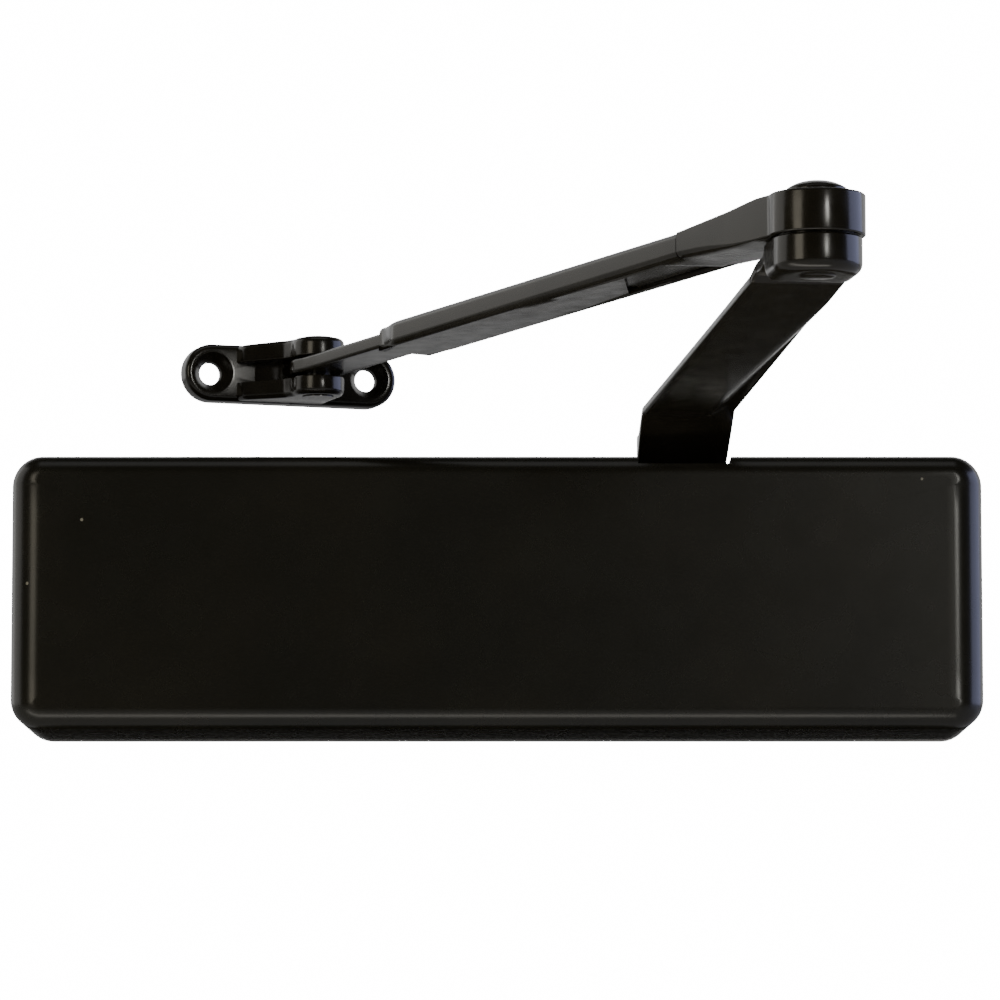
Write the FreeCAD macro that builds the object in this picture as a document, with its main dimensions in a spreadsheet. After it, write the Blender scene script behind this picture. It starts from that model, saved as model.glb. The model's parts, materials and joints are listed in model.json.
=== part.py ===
"""Surface door closer with a full metal cover and a regular (scissor) arm.

Millimetres.  +X runs along the cover, +Y goes into the door and +Z is up, along the
pinion.  The origin is the centre of the four door-fixing holes, on the mounting face.
"""
import FreeCAD, Part
import math
import os
import re
import Sketcher
from FreeCAD import Placement, Rotation, Vector

# Every driving dimension, with what it measures.  Angles are in degrees.
SIZES = {
    # cover
    "cover_width": (316, "along the door"),
    "cover_height": (89, "top to bottom"),
    "cover_wall": (2, "sheet thickness"),
    "cover_front_gap": (6, "cylinder to the inside of the cover"),
    "cover_end_round": (10, "front edges at the two ends"),
    "cover_long_round": (6.5, "front edges along the top and bottom"),
    "cover_corner_round": (10, "corners seen from the front"),
    "notch_gap": (0.8, "between the arm's hub and the notch in the cover"),
    "notch_undercut": (0.8, "notch floor below the inside of the cover's top"),
    # body casting
    "bore_radius": (19, "inside of the cylinder"),
    "barrel_wall": (5, "round the cylinder"),
    "plate_thickness": (8, "foot plate"),
    "plate_end_gap": (9, "foot plate to the inside of the cover, at the ends"),
    "plate_side_gap": (3.5, "foot plate to the inside of the cover, above and below"),
    "bracket_room": (19, "foot plate beyond the machined ends of the cylinder"),
    "fixing_pitch_long": (230.2, "door-fixing holes, along X"),
    "fixing_pitch_high": (62, "door-fixing holes, along Z"),
    "fixing_hole_radius": (3.5, "door-fixing holes"),
    "boss_radius": (20, "pinion boss"),
    "nut_gap": (2.9, "bearing nuts to the inside of the cover"),
    "bearing_radius": (13, "pinion bearings, outside"),
    "bearing_step": (0.5, "pinion bearings beyond the bore"),
    "nut_plug_length": (5.9, "bearing nuts, inside the boss"),
    "running_clearance": (0.03, "shafts in bearings, radial"),
    "sliding_clearance": (0.07, "piston and spring seat in the bore, radial"),
    "nut_flange_radius": (17, "bearing nuts"),
    "nut_flange_thickness": (2.6, "bearing nuts"),
    # end caps
    "cap_plug_length": (14, "threaded part of the end caps"),
    "cap_lip": (3.5, "end cap flanges beyond the bore"),
    "cap_flange_thickness": (4, "end caps"),
    "ring_section": (2.6, "seal rings on the caps and the piston"),
    # regulating valves
    "valve_radius": (3, "valve screws"),
    "valve_length": (14, "valve screws"),
    "valve_pitch": (9, "between valve screws"),
    "valve_block_half": (14, "valve block along X"),
    "valve_block_gap": (6.5, "valve block to the inside of the cover's top"),
    "valve_cover": (6.5, "valve screws below the top of their block"),
    "valve_block_reach": (16, "valve block front, beyond the cylinder axis"),
    "valve_head_proud": (1.5, "valve screws in front of the block"),
    # pinion and piston
    "gear_module": (1.5, "rack and pinion"),
    "gear_teeth": (12, "pinion"),
    "gear_face": (14, "pinion, along its axis"),
    "gear_backlash": (0.3, "rack and pinion, at the pitch line"),
    "pressure_angle": (25, "rack and pinion"),
    "journal_radius": (7, "pinion shaft"),
    "square_width": (9.5, "square ends of the pinion shaft"),
    "square_stub": (2.2, "lower square below its bearing nut"),
    "square_short": (0.5, "upper square below the top of the hub"),
    "opening_angle": (175, "pinion travel"),
    "piston_head": (19, "piston, spring-side head"),
    "piston_end_gap": (2, "piston to the right cap at rest"),
    "piston_tail": (12, "piston beyond its slot"),
    "slot_clearance": (1, "round the pinion in the piston"),
    "check_ball_radius": (2.2, "check valve"),
    "check_ball_lift": (0.8, "check valve"),
    "check_seat_radius": (1.3, "check valve passage"),
    "check_chamber_depth": (8, "check valve, into the piston's head"),
    "check_gap": (0.3, "round the check ball"),
    "piston_groove": (10, "seal groove from the spring face of the piston"),
    # closing spring
    "spring_gap": (1.6, "closing spring to the bore"),
    "spring_wire_radius": (2.6, "closing spring"),
    "spring_turns": (11, "closing spring"),
    "seat_thickness": (8, "spring seat"),
    "seat_gap": (12, "spring seat to the left cap at rest"),
    "seat_nose_length": (6, "spring seat, inside the spring"),
    "seat_nose_gap": (0.6, "spring seat to the spring"),
    "adjuster_radius": (5, "spring adjusting screw"),
    "adjuster_reach": (58, "adjusting screw beyond the left cap"),
    "adjuster_head_radius": (8, "spring adjusting screw"),
    "adjuster_head_length": (7, "spring adjusting screw"),
    "adjuster_head_gap": (0.2, "adjusting screw's head to the left cap"),
    # cover brackets
    "bracket_half_height": (22, "cover brackets"),
    "bracket_sheet": (2.5, "cover brackets"),
    "bracket_reach": (16, "cover brackets, beyond the cylinder axis"),
    "bracket_foot_gap": (0.5, "cover brackets to the end caps"),
    "cover_screw_length": (8, "cover screws, inside the cover"),
    "bracket_screw_pitch": (24, "bracket screws, along Z"),
    "small_screw_radius": (2.5, "bracket and cover screws"),
    "small_head_radius": (4.6, "bracket and cover screws"),
    "small_head_height": (2.8, "bracket screws"),
    # main arm
    "arm_swing": (8.1, "main arm, from straight out towards +X"),
    "arm_centres": (228.6, "main arm, pinion to elbow"),
    "hub_radius": (14.9, "main arm"),
    "hub_drop": (0.9, "underside of the hub below the top of the cover"),
    "hub_thickness": (11, "main arm"),
    "riser_start": (9, "from the pinion axis"),
    "riser_end": (27, "from the pinion axis"),
    "bar_rise_near": (13.9, "underside of the bar above the hub's, at the riser"),
    "bar_rise_far": (31.4, "underside of the bar above the hub's, at the elbow end"),
    "bar_thickness": (8, "main arm"),
    "bar_edge": (2.2, "upright edge of the bar"),
    "bar_width_near": (30.6, "main arm"),
    "bar_width_far": (28, "main arm"),
    "bar_crown_width": (15, "flat along the top of the bar"),
    "neck_rise": (33.4, "underside of the neck above the hub's"),
    "neck_drop": (1.1, "top of the neck below the top of the knuckle"),
    "neck_overlap": (6, "neck inside the bar"),
    "neck_length": (28, "end of the bar to the elbow axis"),
    "elbow_rise": (29.4, "underside of the knuckle above the hub's"),
    "elbow_height": (11.1, "main arm's knuckle"),
    "elbow_radius": (13.2, "main arm's knuckle"),
    "elbow_round": (3.4, "lower edge of the knuckle"),
    "elbow_pin_radius": (5.4, "elbow rivet"),
    "elbow_head_radius": (8.9, "elbow rivet"),
    "elbow_head_height": (4.6, "elbow rivet"),
    "elbow_head_gap": (0.2, "rivet head to the forearm's knuckle"),
    "elbow_rivet_proud": (0.6, "rivet below the main arm's knuckle"),
    "pin_clearance": (0.05, "elbow and shoe pins, radial"),
    "washer_thickness": (0.4, "elbow washer"),
    "washer_radius": (11.8, "elbow washer"),
    "arm_screw_radius": (4, "arm screw"),
    "arm_washer_radius": (8.8, "arm washer"),
    "arm_washer_thickness": (2, "arm washer"),
    # forearm
    "forearm_heading": (123.55, "from +X, anticlockwise seen from above"),
    "forearm_reach": (276, "elbow axis to shoe pin"),
    "forearm_drop": (12.9, "shoe pin below the elbow knuckle"),
    "knuckle_radius": (14.2, "forearm's knuckle"),
    "knuckle_thickness": (12.4, "forearm's knuckle"),
    "sleeve_start": (54, "from the elbow axis"),
    "rod_showing": (53, "sleeve's end to the shoe pin"),
    "sleeve_width": (24.4, "folded sleeve"),
    "sleeve_height": (7.8, "folded sleeve"),
    "sleeve_wall": (1.5, "folded sleeve"),
    "sleeve_window": (43, "open length of the underside at the elbow end"),
    "sleeve_window_width": (18, "open underside at the elbow end"),
    "tongue_length": (50, "elbow piece inside the sleeve"),
    "tongue_gap": (0.05, "elbow piece inside the sleeve"),
    "rod_width": (17, "sliding rod"),
    "rod_gap": (0.08, "rod to the sleeve, above and below"),
    "rod_retraction": (15, "rod travel inwards"),
    "rod_end_gap": (30.4, "pushed-in rod to the elbow piece"),
    "rod_eye_radius": (9.4, "sliding rod"),
    "clamp_screw_radius": (4, "rod clamp screw"),
    "clamp_screw_inset": (18, "rod clamp screw, from the sleeve's end"),
    "clamp_screw_height": (1.5, "rod clamp screw above the sleeve"),
    "clamp_screw_gap": (0.4, "loosened clamp screw to the rod"),
    # shoe
    "shoe_turn": (19, "shoe turned on its pin, from square to the door"),
    "shoe_standoff": (28, "pin to the mounting face of the shoe"),
    "shoe_plate": (6.5, "shoe plate"),
    "shoe_pitch": (54.4, "between the shoe's screw holes"),
    "shoe_offset": (2.6, "middle of the shoe's plate, to the left of its pin"),
    "shoe_ear_radius": (9.6, "shoe"),
    "shoe_height": (18, "shoe"),
    "shoe_hole_radius": (3.7, "shoe's screw holes"),
    "shoe_sink_radius": (6.6, "countersinks"),
    "shoe_sink_depth": (4.2, "countersinks"),
    "prong_radius": (8.6, "shoe prongs"),
    "prong_root_half": (14, "shoe prongs at the plate"),
    "prong_gap": (0.9, "prongs to the rod's eye"),
    "shoe_pin_radius": (4, "shoe pin"),
    "shoe_pin_proud": (1, "shoe pin heads beyond the prongs"),
    "shoe_pin_head_radius": (5.2, "shoe pin"),
    "eye_clearance": (1.2, "round the rod's eye in the shoe"),
}

doc = FreeCAD.newDocument("door_closer")
sheet = doc.addObject("Spreadsheet::Sheet", "Sizes")
for row, (alias, (number, meaning)) in enumerate(SIZES.items(), start=1):
    sheet.set(f"A{row}", meaning)
    sheet.set(f"B{row}", str(number))
    sheet.setAlias(f"B{row}", alias)
doc.recompute()

# Places that several pieces share, as formulas in the names of the sheet.  FIT is the
# clearance of countersunk heads, and PAST is how far a cutting tool runs past a face.
BARREL_RADIUS = "(bore_radius + barrel_wall)"
AXIS_DEPTH = f"({BARREL_RADIUS} + plate_thickness)"
BACK_AXIS = f"-{AXIS_DEPTH}"
COVER_DEPTH = f"({AXIS_DEPTH} + {BARREL_RADIUS} + cover_front_gap + cover_wall)"
COVER_INSIDE = "(cover_width / 2 - cover_wall)"
ROOF = "(cover_height / 2 - cover_wall)"
NOTCH_FLOOR = f"({ROOF} - notch_undercut)"
PLATE_HALF_LENGTH = f"({COVER_INSIDE} - plate_end_gap)"
PLATE_HALF_HEIGHT = f"({ROOF} - plate_side_gap)"
BODY_END = f"({PLATE_HALF_LENGTH} - bracket_room)"
CAP_INNER = f"({BODY_END} - cap_plug_length)"
CAP_LENGTH = "(cap_plug_length + cap_flange_thickness)"
CAP_RADIUS = "(bore_radius + cap_lip)"
BOSS_HALF_HEIGHT = f"({ROOF} - nut_flange_thickness - nut_gap)"
NUT_TOP = f"({BOSS_HALF_HEIGHT} + nut_flange_thickness)"
BEARING_LOW = "(bore_radius + bearing_step)"
SEAL_HIGH = f"({BOSS_HALF_HEIGHT} - nut_plug_length)"
SEAL_LOW = f"({SEAL_HIGH} - ring_section)"
PISTON_RIGHT = f"({CAP_INNER} - piston_end_gap)"
PITCH_RADIUS = "(gear_module * gear_teeth / 2)"
TIP_RADIUS = f"({PITCH_RADIUS} + gear_module)"
STROKE = f"({PITCH_RADIUS} * opening_angle * pi / 180)"
SLOT_RIGHT = f"({PISTON_RIGHT} - piston_tail)"
PINION_X = f"({SLOT_RIGHT} - {STROKE} - slot_clearance - {TIP_RADIUS})"
SLOT_LEFT = f"({PINION_X} - {TIP_RADIUS} - slot_clearance)"
PISTON_LEFT = f"({SLOT_LEFT} - piston_head)"
SEAT_LEFT = f"(seat_gap - {CAP_INNER})"
SEAT_RIGHT = f"({SEAT_LEFT} + seat_thickness)"
SPRING_MEAN = "(bore_radius - spring_gap - spring_wire_radius)"
VALVE_X = f"({PINION_X} + boss_radius + valve_block_half)"
VALVE_FACE = f"({AXIS_DEPTH} + valve_block_reach)"
VALVE_BLOCK_TOP = f"({ROOF} - valve_block_gap)"
VALVE_HEIGHT = f"({VALVE_BLOCK_TOP} - valve_cover)"
HUB_FLOOR = "(cover_height / 2 - hub_drop)"
HUB_TOP = f"({HUB_FLOOR} + hub_thickness)"
NOTCH_HALF = "(hub_radius + notch_gap)"
BAR_NEAR = f"({HUB_FLOOR} + bar_rise_near)"
BAR_FAR = f"({HUB_FLOOR} + bar_rise_far)"
ELBOW_FLOOR = f"({HUB_FLOOR} + elbow_rise)"
ELBOW_SPLIT = f"({ELBOW_FLOOR} + elbow_height)"
ELBOW_X = f"({PINION_X} + arm_centres * sin(arm_swing))"
ELBOW_Y = f"({BACK_AXIS} - arm_centres * cos(arm_swing))"
KNUCKLE_FLOOR = f"({ELBOW_SPLIT} + washer_thickness)"
KNUCKLE_TOP = f"({KNUCKLE_FLOOR} + knuckle_thickness)"
KNUCKLE_MIDDLE = f"({KNUCKLE_FLOOR} + knuckle_thickness / 2)"
PIN_LEVEL = f"({KNUCKLE_MIDDLE} - forearm_drop)"
SLEEVE_END = "(forearm_reach - rod_showing)"
ROD_START = "(sleeve_start + tongue_length + rod_retraction + rod_end_gap)"
ROD_HEIGHT = "(sleeve_height - 2 * sleeve_wall - 2 * rod_gap)"
CLAMP_SPOT = f"({SLEEVE_END} - clamp_screw_inset)"
FIT = 0.05
PAST = 1


TURN_TO = {
    "Z": Rotation(),
    "X": Rotation(Vector(0, 1, 0), 90),
    "-X": Rotation(Vector(0, 1, 0), -90),
    "Y": Rotation(Vector(1, 0, 0), -90),
    "-Y": Rotation(Vector(1, 0, 0), 90),
}
subparts = []


def cells(formula):
    """The formula with each sheet name written as a reference to its cell."""
    def reference(match):
        word = match.group()
        return f"Sizes.{word}" if word in SIZES else word
    return re.sub(r"[a-z][a-z_]*", reference, str(formula))


def value(formula):
    """The number that a formula of sheet names comes to."""
    number = sheet.evalExpression(cells(formula))
    return float(getattr(number, "Value", number))


def place(item, x=0, y=0, z=0, axis="Z"):
    """Puts an object at a point given by formulas, with its own Z along an axis."""
    item.Placement = Placement(Vector(0, 0, 0), TURN_TO[axis])
    for direction, formula in zip("xyz", (x, y, z)):
        item.setExpression(f"Placement.Base.{direction}", cells(formula))
    return item


def box(name, low, high):
    """A block between two corners, each three formulas."""
    block = doc.addObject("Part::Box", name)
    for side, a, b in zip(("Length", "Width", "Height"), low, high):
        block.setExpression(side, cells(f"({b}) - ({a})"))
    return place(block, *low)


def rod(name, radius, length, x=0, y=0, z=0, axis="Z"):
    """A cylinder from a point along an axis."""
    bar = doc.addObject("Part::Cylinder", name)
    bar.setExpression("Radius", cells(radius))
    bar.setExpression("Height", cells(length))
    return place(bar, x, y, z, axis)


def cone(name, radius_low, radius_high, length, x=0, y=0, z=0, axis="Z"):
    """A cone from a point along an axis."""
    taper = doc.addObject("Part::Cone", name)
    taper.setExpression("Radius1", cells(radius_low))
    taper.setExpression("Radius2", cells(radius_high))
    taper.setExpression("Height", cells(length))
    return place(taper, x, y, z, axis)


def hexagon(name, corner_radius, length, x=0, y=0, z=0, axis="Z"):
    """A six-sided prism, for sockets and heads."""
    prism = doc.addObject("Part::Prism", name)
    prism.Polygon = 6
    prism.setExpression("Circumradius", cells(corner_radius))
    prism.setExpression("Height", cells(length))
    return place(prism, x, y, z, axis)


def fuse(name, *pieces):
    """Several solids made one."""
    joined = doc.addObject("Part::MultiFuse", name)
    joined.Shapes = pieces
    joined.Refine = True
    return joined


def cut(name, base, *tools):
    """A solid with others taken away from it."""
    tool = tools[0] if len(tools) == 1 else fuse(name + "_tools", *tools)
    result = doc.addObject("Part::Cut", name)
    result.Base = base
    result.Tool = tool
    result.Refine = True
    return result


def mirrored(name, source):
    """The other-handed copy of a solid, across the middle of the door closer."""
    copy = doc.addObject("Part::Mirroring", name)
    copy.Source = source
    copy.Normal = Vector(1, 0, 0)
    return copy


def group(name, *pieces):
    """Identical pieces kept as separate solids of one sub-part."""
    bundle = doc.addObject("Part::Compound", name)
    bundle.Links = pieces
    return bundle


def rounded(name, base, radius, chosen):
    """Fillets the edges of a solid that a test picks out."""
    doc.recompute()
    result = doc.addObject("Part::Fillet", name)
    result.Base = base
    size = value(radius)
    result.Edges = [(number, size, size) for number, edge in enumerate(base.Shape.Edges, start=1)
                    if chosen(edge)]
    return result


def subpart(item, node):
    """Marks a finished object as the sub-part of that name."""
    item.Label = node
    subparts.append(item)
    return item


def new_body(name):
    return doc.addObject("PartDesign::Body", name)


def base_plane(body, role):
    return next(plane for plane in body.Origin.OriginFeatures if plane.Role == role)


def outline(body, name, role, points, offset=None):
    """A closed sketch whose corners are pairs of formulas, on an origin plane of the body."""
    sketch = body.newObject("Sketcher::SketchObject", name)
    sketch.AttachmentSupport = [(base_plane(body, role), "")]
    sketch.MapMode = "FlatFace"
    if offset is not None:
        sketch.setExpression("AttachmentOffset.Base.z", cells(offset))
    corners = [Vector(value(across), value(up), 0) for across, up in points]
    for number, corner in enumerate(corners):
        following = corners[(number + 1) % len(corners)]
        sketch.addGeometry(Part.LineSegment(corner, following))
    for number in range(len(corners)):
        sketch.addConstraint(Sketcher.Constraint("Coincident", number, 2, (number + 1) % len(corners), 1))
    for number, (across, up) in enumerate(points):
        for kind, axis_line, formula, length in (("DistanceX", -2, across, corners[number].x),
                                                 ("DistanceY", -1, up, corners[number].y)):
            if str(formula) == "0":
                sketch.addConstraint(Sketcher.Constraint("PointOnObject", number, 1, axis_line))
                continue
            index = sketch.addConstraint(Sketcher.Constraint(kind, -1, 1, number, 1, length))
            sketch.setExpression(f"Constraints[{index}]", cells(formula))
    return sketch


def turned(name, profile, x=0, y=0, z=0, axis="Z"):
    """A round piece from its half section, corners being (radius, distance along the axis)."""
    body = new_body(name)
    sketch = outline(body, name + "_section", "XZ_Plane", profile)
    revolution = body.newObject("PartDesign::Revolution", name + "_turned")
    revolution.Profile = sketch
    revolution.ReferenceAxis = (sketch, ["V_Axis"])
    revolution.Angle = 360
    return place(body, x, y, z, axis)


def lofted(name, sections):
    """A straight-sided solid along X through outlines in Y and Z, each (distance, corners)."""
    body = new_body(name)
    sketches = [outline(body, f"{name}_section_{number}", "YZ_Plane", points, distance)
                for number, (distance, points) in enumerate(sections)]
    loft = body.newObject("PartDesign::AdditiveLoft", name + "_loft")
    loft.Profile = sketches[0]
    loft.Sections = sketches[1:]
    loft.Ruled = True
    return body


def tube_profile(inner, outer, low, high):
    """The half section of a plain ring."""
    return [(inner, low), (outer, low), (outer, high), (inner, high)]


# ---------------------------------------------------------------- cover

def cover_block(name, inset):
    """The cover's outer or inner form: a block open at the door, every front edge rounded."""
    side, top = f"(cover_width / 2 - {inset})", f"(cover_height / 2 - {inset})"
    block = box(name + "_block", (f"-{side}", f"{inset} - {COVER_DEPTH}", f"-{top}"), (side, 0, top))
    corners = rounded(name + "_corners", block, f"cover_corner_round - {inset}",
                      lambda edge: edge.BoundBox.YLength > value(COVER_DEPTH) / 2)
    doc.recompute()
    end_round, long_round = value(f"cover_end_round - {inset}"), value(f"cover_long_round - {inset}")
    front = value(f"{inset} - {COVER_DEPTH}")
    edges = []
    for number, edge in enumerate(corners.Shape.Edges, start=1):
        reach = edge.BoundBox
        if abs(reach.YMin - front) > 1e-6 or abs(reach.YMax - front) > 1e-6:
            continue
        radii = [end_round if on_end(point, side) else long_round
                 for point in (edge.firstVertex(True).Point, edge.lastVertex(True).Point)]
        edges.append((number, *radii))
    blend = doc.addObject("Part::Fillet", name)
    blend.Base = corners
    blend.Edges = edges
    return blend


def on_end(point, side):
    """Whether a point lies on one of the cover's two ends."""
    return abs(abs(point.x) - value(side)) < 1e-6


def cover():
    """Drawn steel cover, open at the door, with a notch for the arm's hub in its top."""
    notch = box("cover_notch", (f"{PINION_X} - {NOTCH_HALF}", f"-{COVER_DEPTH}", NOTCH_FLOOR),
                (f"{PINION_X} + {NOTCH_HALF}", PAST, f"cover_height / 2 + {PAST}"))
    ends = [cone(f"cover_sink_{number}", f"small_screw_radius + {FIT}", "small_head_radius", "cover_wall",
                 f"{sign}{COVER_INSIDE}", BACK_AXIS, 0, f"{sign}X")
            for number, sign in enumerate(("", "-"))]
    subpart(cut("cover_shell", cover_block("cover_outer", "0"), cover_block("cover_inner", "cover_wall"),
                notch, *ends), "cover")


# ---------------------------------------------------------------- body casting

def body_casting():
    """Cast body: cylinder, pinion boss, foot plate and valve block in one piece."""
    barrel = rod("barrel", BARREL_RADIUS, f"2 * {BODY_END}", f"-{BODY_END}", BACK_AXIS, 0, "X")
    plate = box("foot_plate", (f"-{PLATE_HALF_LENGTH}", "-plate_thickness", f"-{PLATE_HALF_HEIGHT}"),
                (PLATE_HALF_LENGTH, 0, PLATE_HALF_HEIGHT))
    web = box("foot_web", (f"-{BODY_END}", BACK_AXIS, f"-{BARREL_RADIUS} / 2"),
              (BODY_END, "-plate_thickness / 2", f"{BARREL_RADIUS} / 2"))
    boss = rod("pinion_boss", "boss_radius", f"2 * {BOSS_HALF_HEIGHT}", PINION_X, BACK_AXIS,
               f"-{BOSS_HALF_HEIGHT}")
    boss_web = box("boss_web", (f"{PINION_X} - boss_radius", BACK_AXIS, f"-{BOSS_HALF_HEIGHT}"),
                   (f"{PINION_X} + boss_radius", "-plate_thickness / 2", BOSS_HALF_HEIGHT))
    block = box("valve_block", (f"{VALVE_X} - valve_block_half", f"-{VALVE_FACE}", f"{BARREL_RADIUS} / 2"),
                (f"{VALVE_X} + valve_block_half", f"{BACK_AXIS} + valve_length / 2", VALVE_BLOCK_TOP))
    bore = rod("cylinder_bore", "bore_radius", f"2 * ({BODY_END} + {PAST})", f"-{BODY_END} - {PAST}",
               BACK_AXIS, 0, "X")
    boss_end = f"({BOSS_HALF_HEIGHT} + {PAST})"
    shaft_bore = rod("shaft_bore", "bearing_radius", f"2 * {boss_end}", PINION_X, BACK_AXIS, f"-{boss_end}")
    corners = [(side, end) for side in ("", "-") for end in ("", "-")]
    hole_start = f"-plate_thickness - {PAST}"
    hole_length = f"plate_thickness + 2 * {PAST}"
    fixings = [rod(f"fixing_{number}", "fixing_hole_radius", hole_length, f"{side}fixing_pitch_long / 2",
                   hole_start, f"{end}fixing_pitch_high / 2", "Y")
               for number, (side, end) in enumerate(corners)]
    valves = [rod(f"valve_bore_{number}", "valve_radius + running_clearance", f"valve_length + {PAST}",
                  f"{VALVE_X} + {number - 1} * valve_pitch", f"-{VALVE_FACE} - {PAST}", VALVE_HEIGHT, "Y")
              for number in range(3)]
    brackets = [rod(f"bracket_hole_{number}", "small_screw_radius", hole_length, x, hole_start, z, "Y")
                for number, (x, z) in enumerate(bracket_screw_places())]
    casting = fuse("casting_solid", barrel, plate, web, boss, boss_web, block)
    subpart(cut("casting", casting, bore, shaft_bore, *fixings, *valves, *brackets), "body_casting")


def bracket_screw_places():
    """Formulas for the four bracket screws, as X and Z."""
    reach = f"({BODY_END} + {PLATE_HALF_LENGTH} + cap_flange_thickness) / 2"
    signs = ("", "-")
    return [(f"{side}({reach})", f"{end}bracket_screw_pitch / 2") for side in signs for end in signs]


def end_caps():
    """Threaded caps that close the cylinder; the left one carries the adjusting screw."""
    groove = "cap_plug_length / 2"
    profile = [("bore_radius", f"{groove} + ring_section / 2"), ("bore_radius", "cap_plug_length"),
               (CAP_RADIUS, "cap_plug_length"), (CAP_RADIUS, CAP_LENGTH)]
    nose = [("bore_radius", 0), ("bore_radius", f"{groove} - ring_section / 2"),
            ("bore_radius - ring_section", f"{groove} - ring_section / 2"),
            ("bore_radius - ring_section", f"{groove} + ring_section / 2")]
    solid_profile = [(0, 0)] + nose + profile + [(0, CAP_LENGTH)]
    right = turned("right_cap_blank", solid_profile, CAP_INNER, BACK_AXIS, 0, "X")
    socket = hexagon("right_cap_socket", "bore_radius / 2", "cap_plug_length / 2",
                     f"{BODY_END} + cap_flange_thickness - cap_plug_length / 2", BACK_AXIS, 0, "X")
    subpart(cut("right_cap", right, socket), "right_end_cap")
    hole = "(adjuster_radius + running_clearance)"
    ring_profile = [(hole, 0)] + nose + profile + [(hole, CAP_LENGTH)]
    subpart(turned("left_cap", ring_profile, f"-{CAP_INNER}", BACK_AXIS, 0, "-X"), "left_end_cap")
    rings = [turned(f"cap_ring_{number}",
                    tube_profile("bore_radius - ring_section", "bore_radius", f"{groove} - ring_section / 2",
                                 f"{groove} + ring_section / 2"),
                    f"{sign}{CAP_INNER}", BACK_AXIS, 0, f"{sign}X")
             for number, sign in enumerate(("", "-"))]
    subpart(group("cap_rings", *rings), "end_cap_seals")


# ---------------------------------------------------------------- pinion bearings

def bearings():
    """Upper and lower pinion bearings, the nuts that hold them and the shaft seals."""
    journal = "(journal_radius + running_clearance)"
    seals = []
    for name, axis in (("upper", "Z"), ("lower", "-Z")):
        bearing = turned(f"{name}_bearing_ring",
                         tube_profile(journal, "bearing_radius", BEARING_LOW, SEAL_LOW))
        nut = turned(f"{name}_nut_blank",
                     [(journal, SEAL_HIGH), ("bearing_radius", SEAL_HIGH),
                      ("bearing_radius", BOSS_HALF_HEIGHT), ("nut_flange_radius", BOSS_HALF_HEIGHT),
                      ("nut_flange_radius", NUT_TOP), (journal, NUT_TOP)])
        seal = turned(f"{name}_seal_ring",
                      tube_profile(journal, "bearing_radius", SEAL_LOW, SEAL_HIGH))
        for item in (bearing, nut, seal):
            if axis == "-Z":
                item.Placement = Placement(Vector(0, 0, 0), Rotation(Vector(1, 0, 0), 180))
            item.setExpression("Placement.Base.x", cells(PINION_X))
            item.setExpression("Placement.Base.y", cells(BACK_AXIS))
        subpart(bearing, f"{name}_bearing")
        subpart(nut, f"{name}_bearing_nut")
        seals.append(seal)
    subpart(group("shaft_seals", *seals), "pinion_shaft_seals")


# ---------------------------------------------------------------- pinion and piston

def gear_face_outline():
    """One closed outline of the pinion's teeth: involute flanks, straight roots and tips."""
    pitch, tip = value(PITCH_RADIUS), value(TIP_RADIUS)
    base = pitch * math.cos(math.radians(value("pressure_angle")))
    root = pitch - 1.25 * value("gear_module")
    teeth = int(value("gear_teeth"))
    half_tooth = math.pi / 2 / teeth - value("gear_backlash") / 4 / pitch

    def involute(radius):
        roll = math.sqrt(max((radius / base) ** 2 - 1, 0))
        return roll - math.atan(roll)

    flank = [(base + (tip - base) * step / 5) for step in range(6)]
    turn = [half_tooth + involute(pitch) - involute(radius) for radius in flank]
    points = []
    for tooth in range(teeth):
        middle = 2 * math.pi * tooth / teeth + math.pi / 2
        falling = [(root, turn[0])] + list(zip(flank, turn))
        rising = [(radius, -angle) for radius, angle in falling]
        points += [Vector(radius * math.cos(middle + angle), radius * math.sin(middle + angle), 0)
                   for radius, angle in rising + falling[::-1]]
    return Part.Face(Part.makePolygon(points + points[:1]))


def pinion_shaft():
    """Pinion shaft: teeth in the middle, a journal each side and a square at each end."""
    teeth = doc.addObject("Part::Feature", "pinion_teeth")
    teeth.Shape = gear_face_outline().extrude(Vector(0, 0, value("gear_face")))
    place(teeth, PINION_X, BACK_AXIS, "-gear_face / 2")
    journal = rod("journals", "journal_radius", f"2 * {NUT_TOP}", PINION_X, BACK_AXIS, f"-{NUT_TOP}")
    half = "square_width / 2"
    upper = box("upper_square", (f"-{half}", f"-{half}", NUT_TOP), (half, half, f"{HUB_TOP} - square_short"))
    lower = box("lower_square", (f"-{half}", f"-{half}", f"-{NUT_TOP} - square_stub"),
                (half, half, f"-{NUT_TOP}"))
    squares = along_main_arm(group("turned_squares", upper, lower))
    hole = rod("arm_screw_hole", "arm_screw_radius", "arm_screw_radius * 4", PINION_X, BACK_AXIS,
               f"{HUB_TOP} - 4 * arm_screw_radius")
    subpart(cut("shaft", fuse("shaft_solid", journal, squares, teeth), hole), "pinion_shaft")


def rack_gaps():
    """The spaces between the piston's rack teeth, straight-sided at the pressure angle."""
    module, pitch = value("gear_module"), math.pi * value("gear_module")
    line = value(f"{BACK_AXIS} + {PITCH_RADIUS}")
    slope = math.tan(math.radians(value("pressure_angle")))
    floor, open_side = 1.25 * module, -module
    left, right = value(SLOT_LEFT), value(SLOT_RIGHT)
    half = pitch / 4 + value("gear_backlash") / 4
    gaps = []
    middle = value(PINION_X) + pitch * math.ceil((left - value(PINION_X)) / pitch)
    while middle < right:
        corners = [(middle - half + floor * slope, line + floor), (middle + half - floor * slope, line + floor),
                   (middle + half - open_side * slope, line + open_side - 0.01),
                   (middle - half + open_side * slope, line + open_side - 0.01)]
        if corners[3][0] > left and corners[2][0] < right:
            wire = Part.makePolygon([Vector(x, y, 0) for x, y in corners + corners[:1]])
            gaps.append(Part.Face(wire))
        middle += pitch
    return gaps


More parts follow.
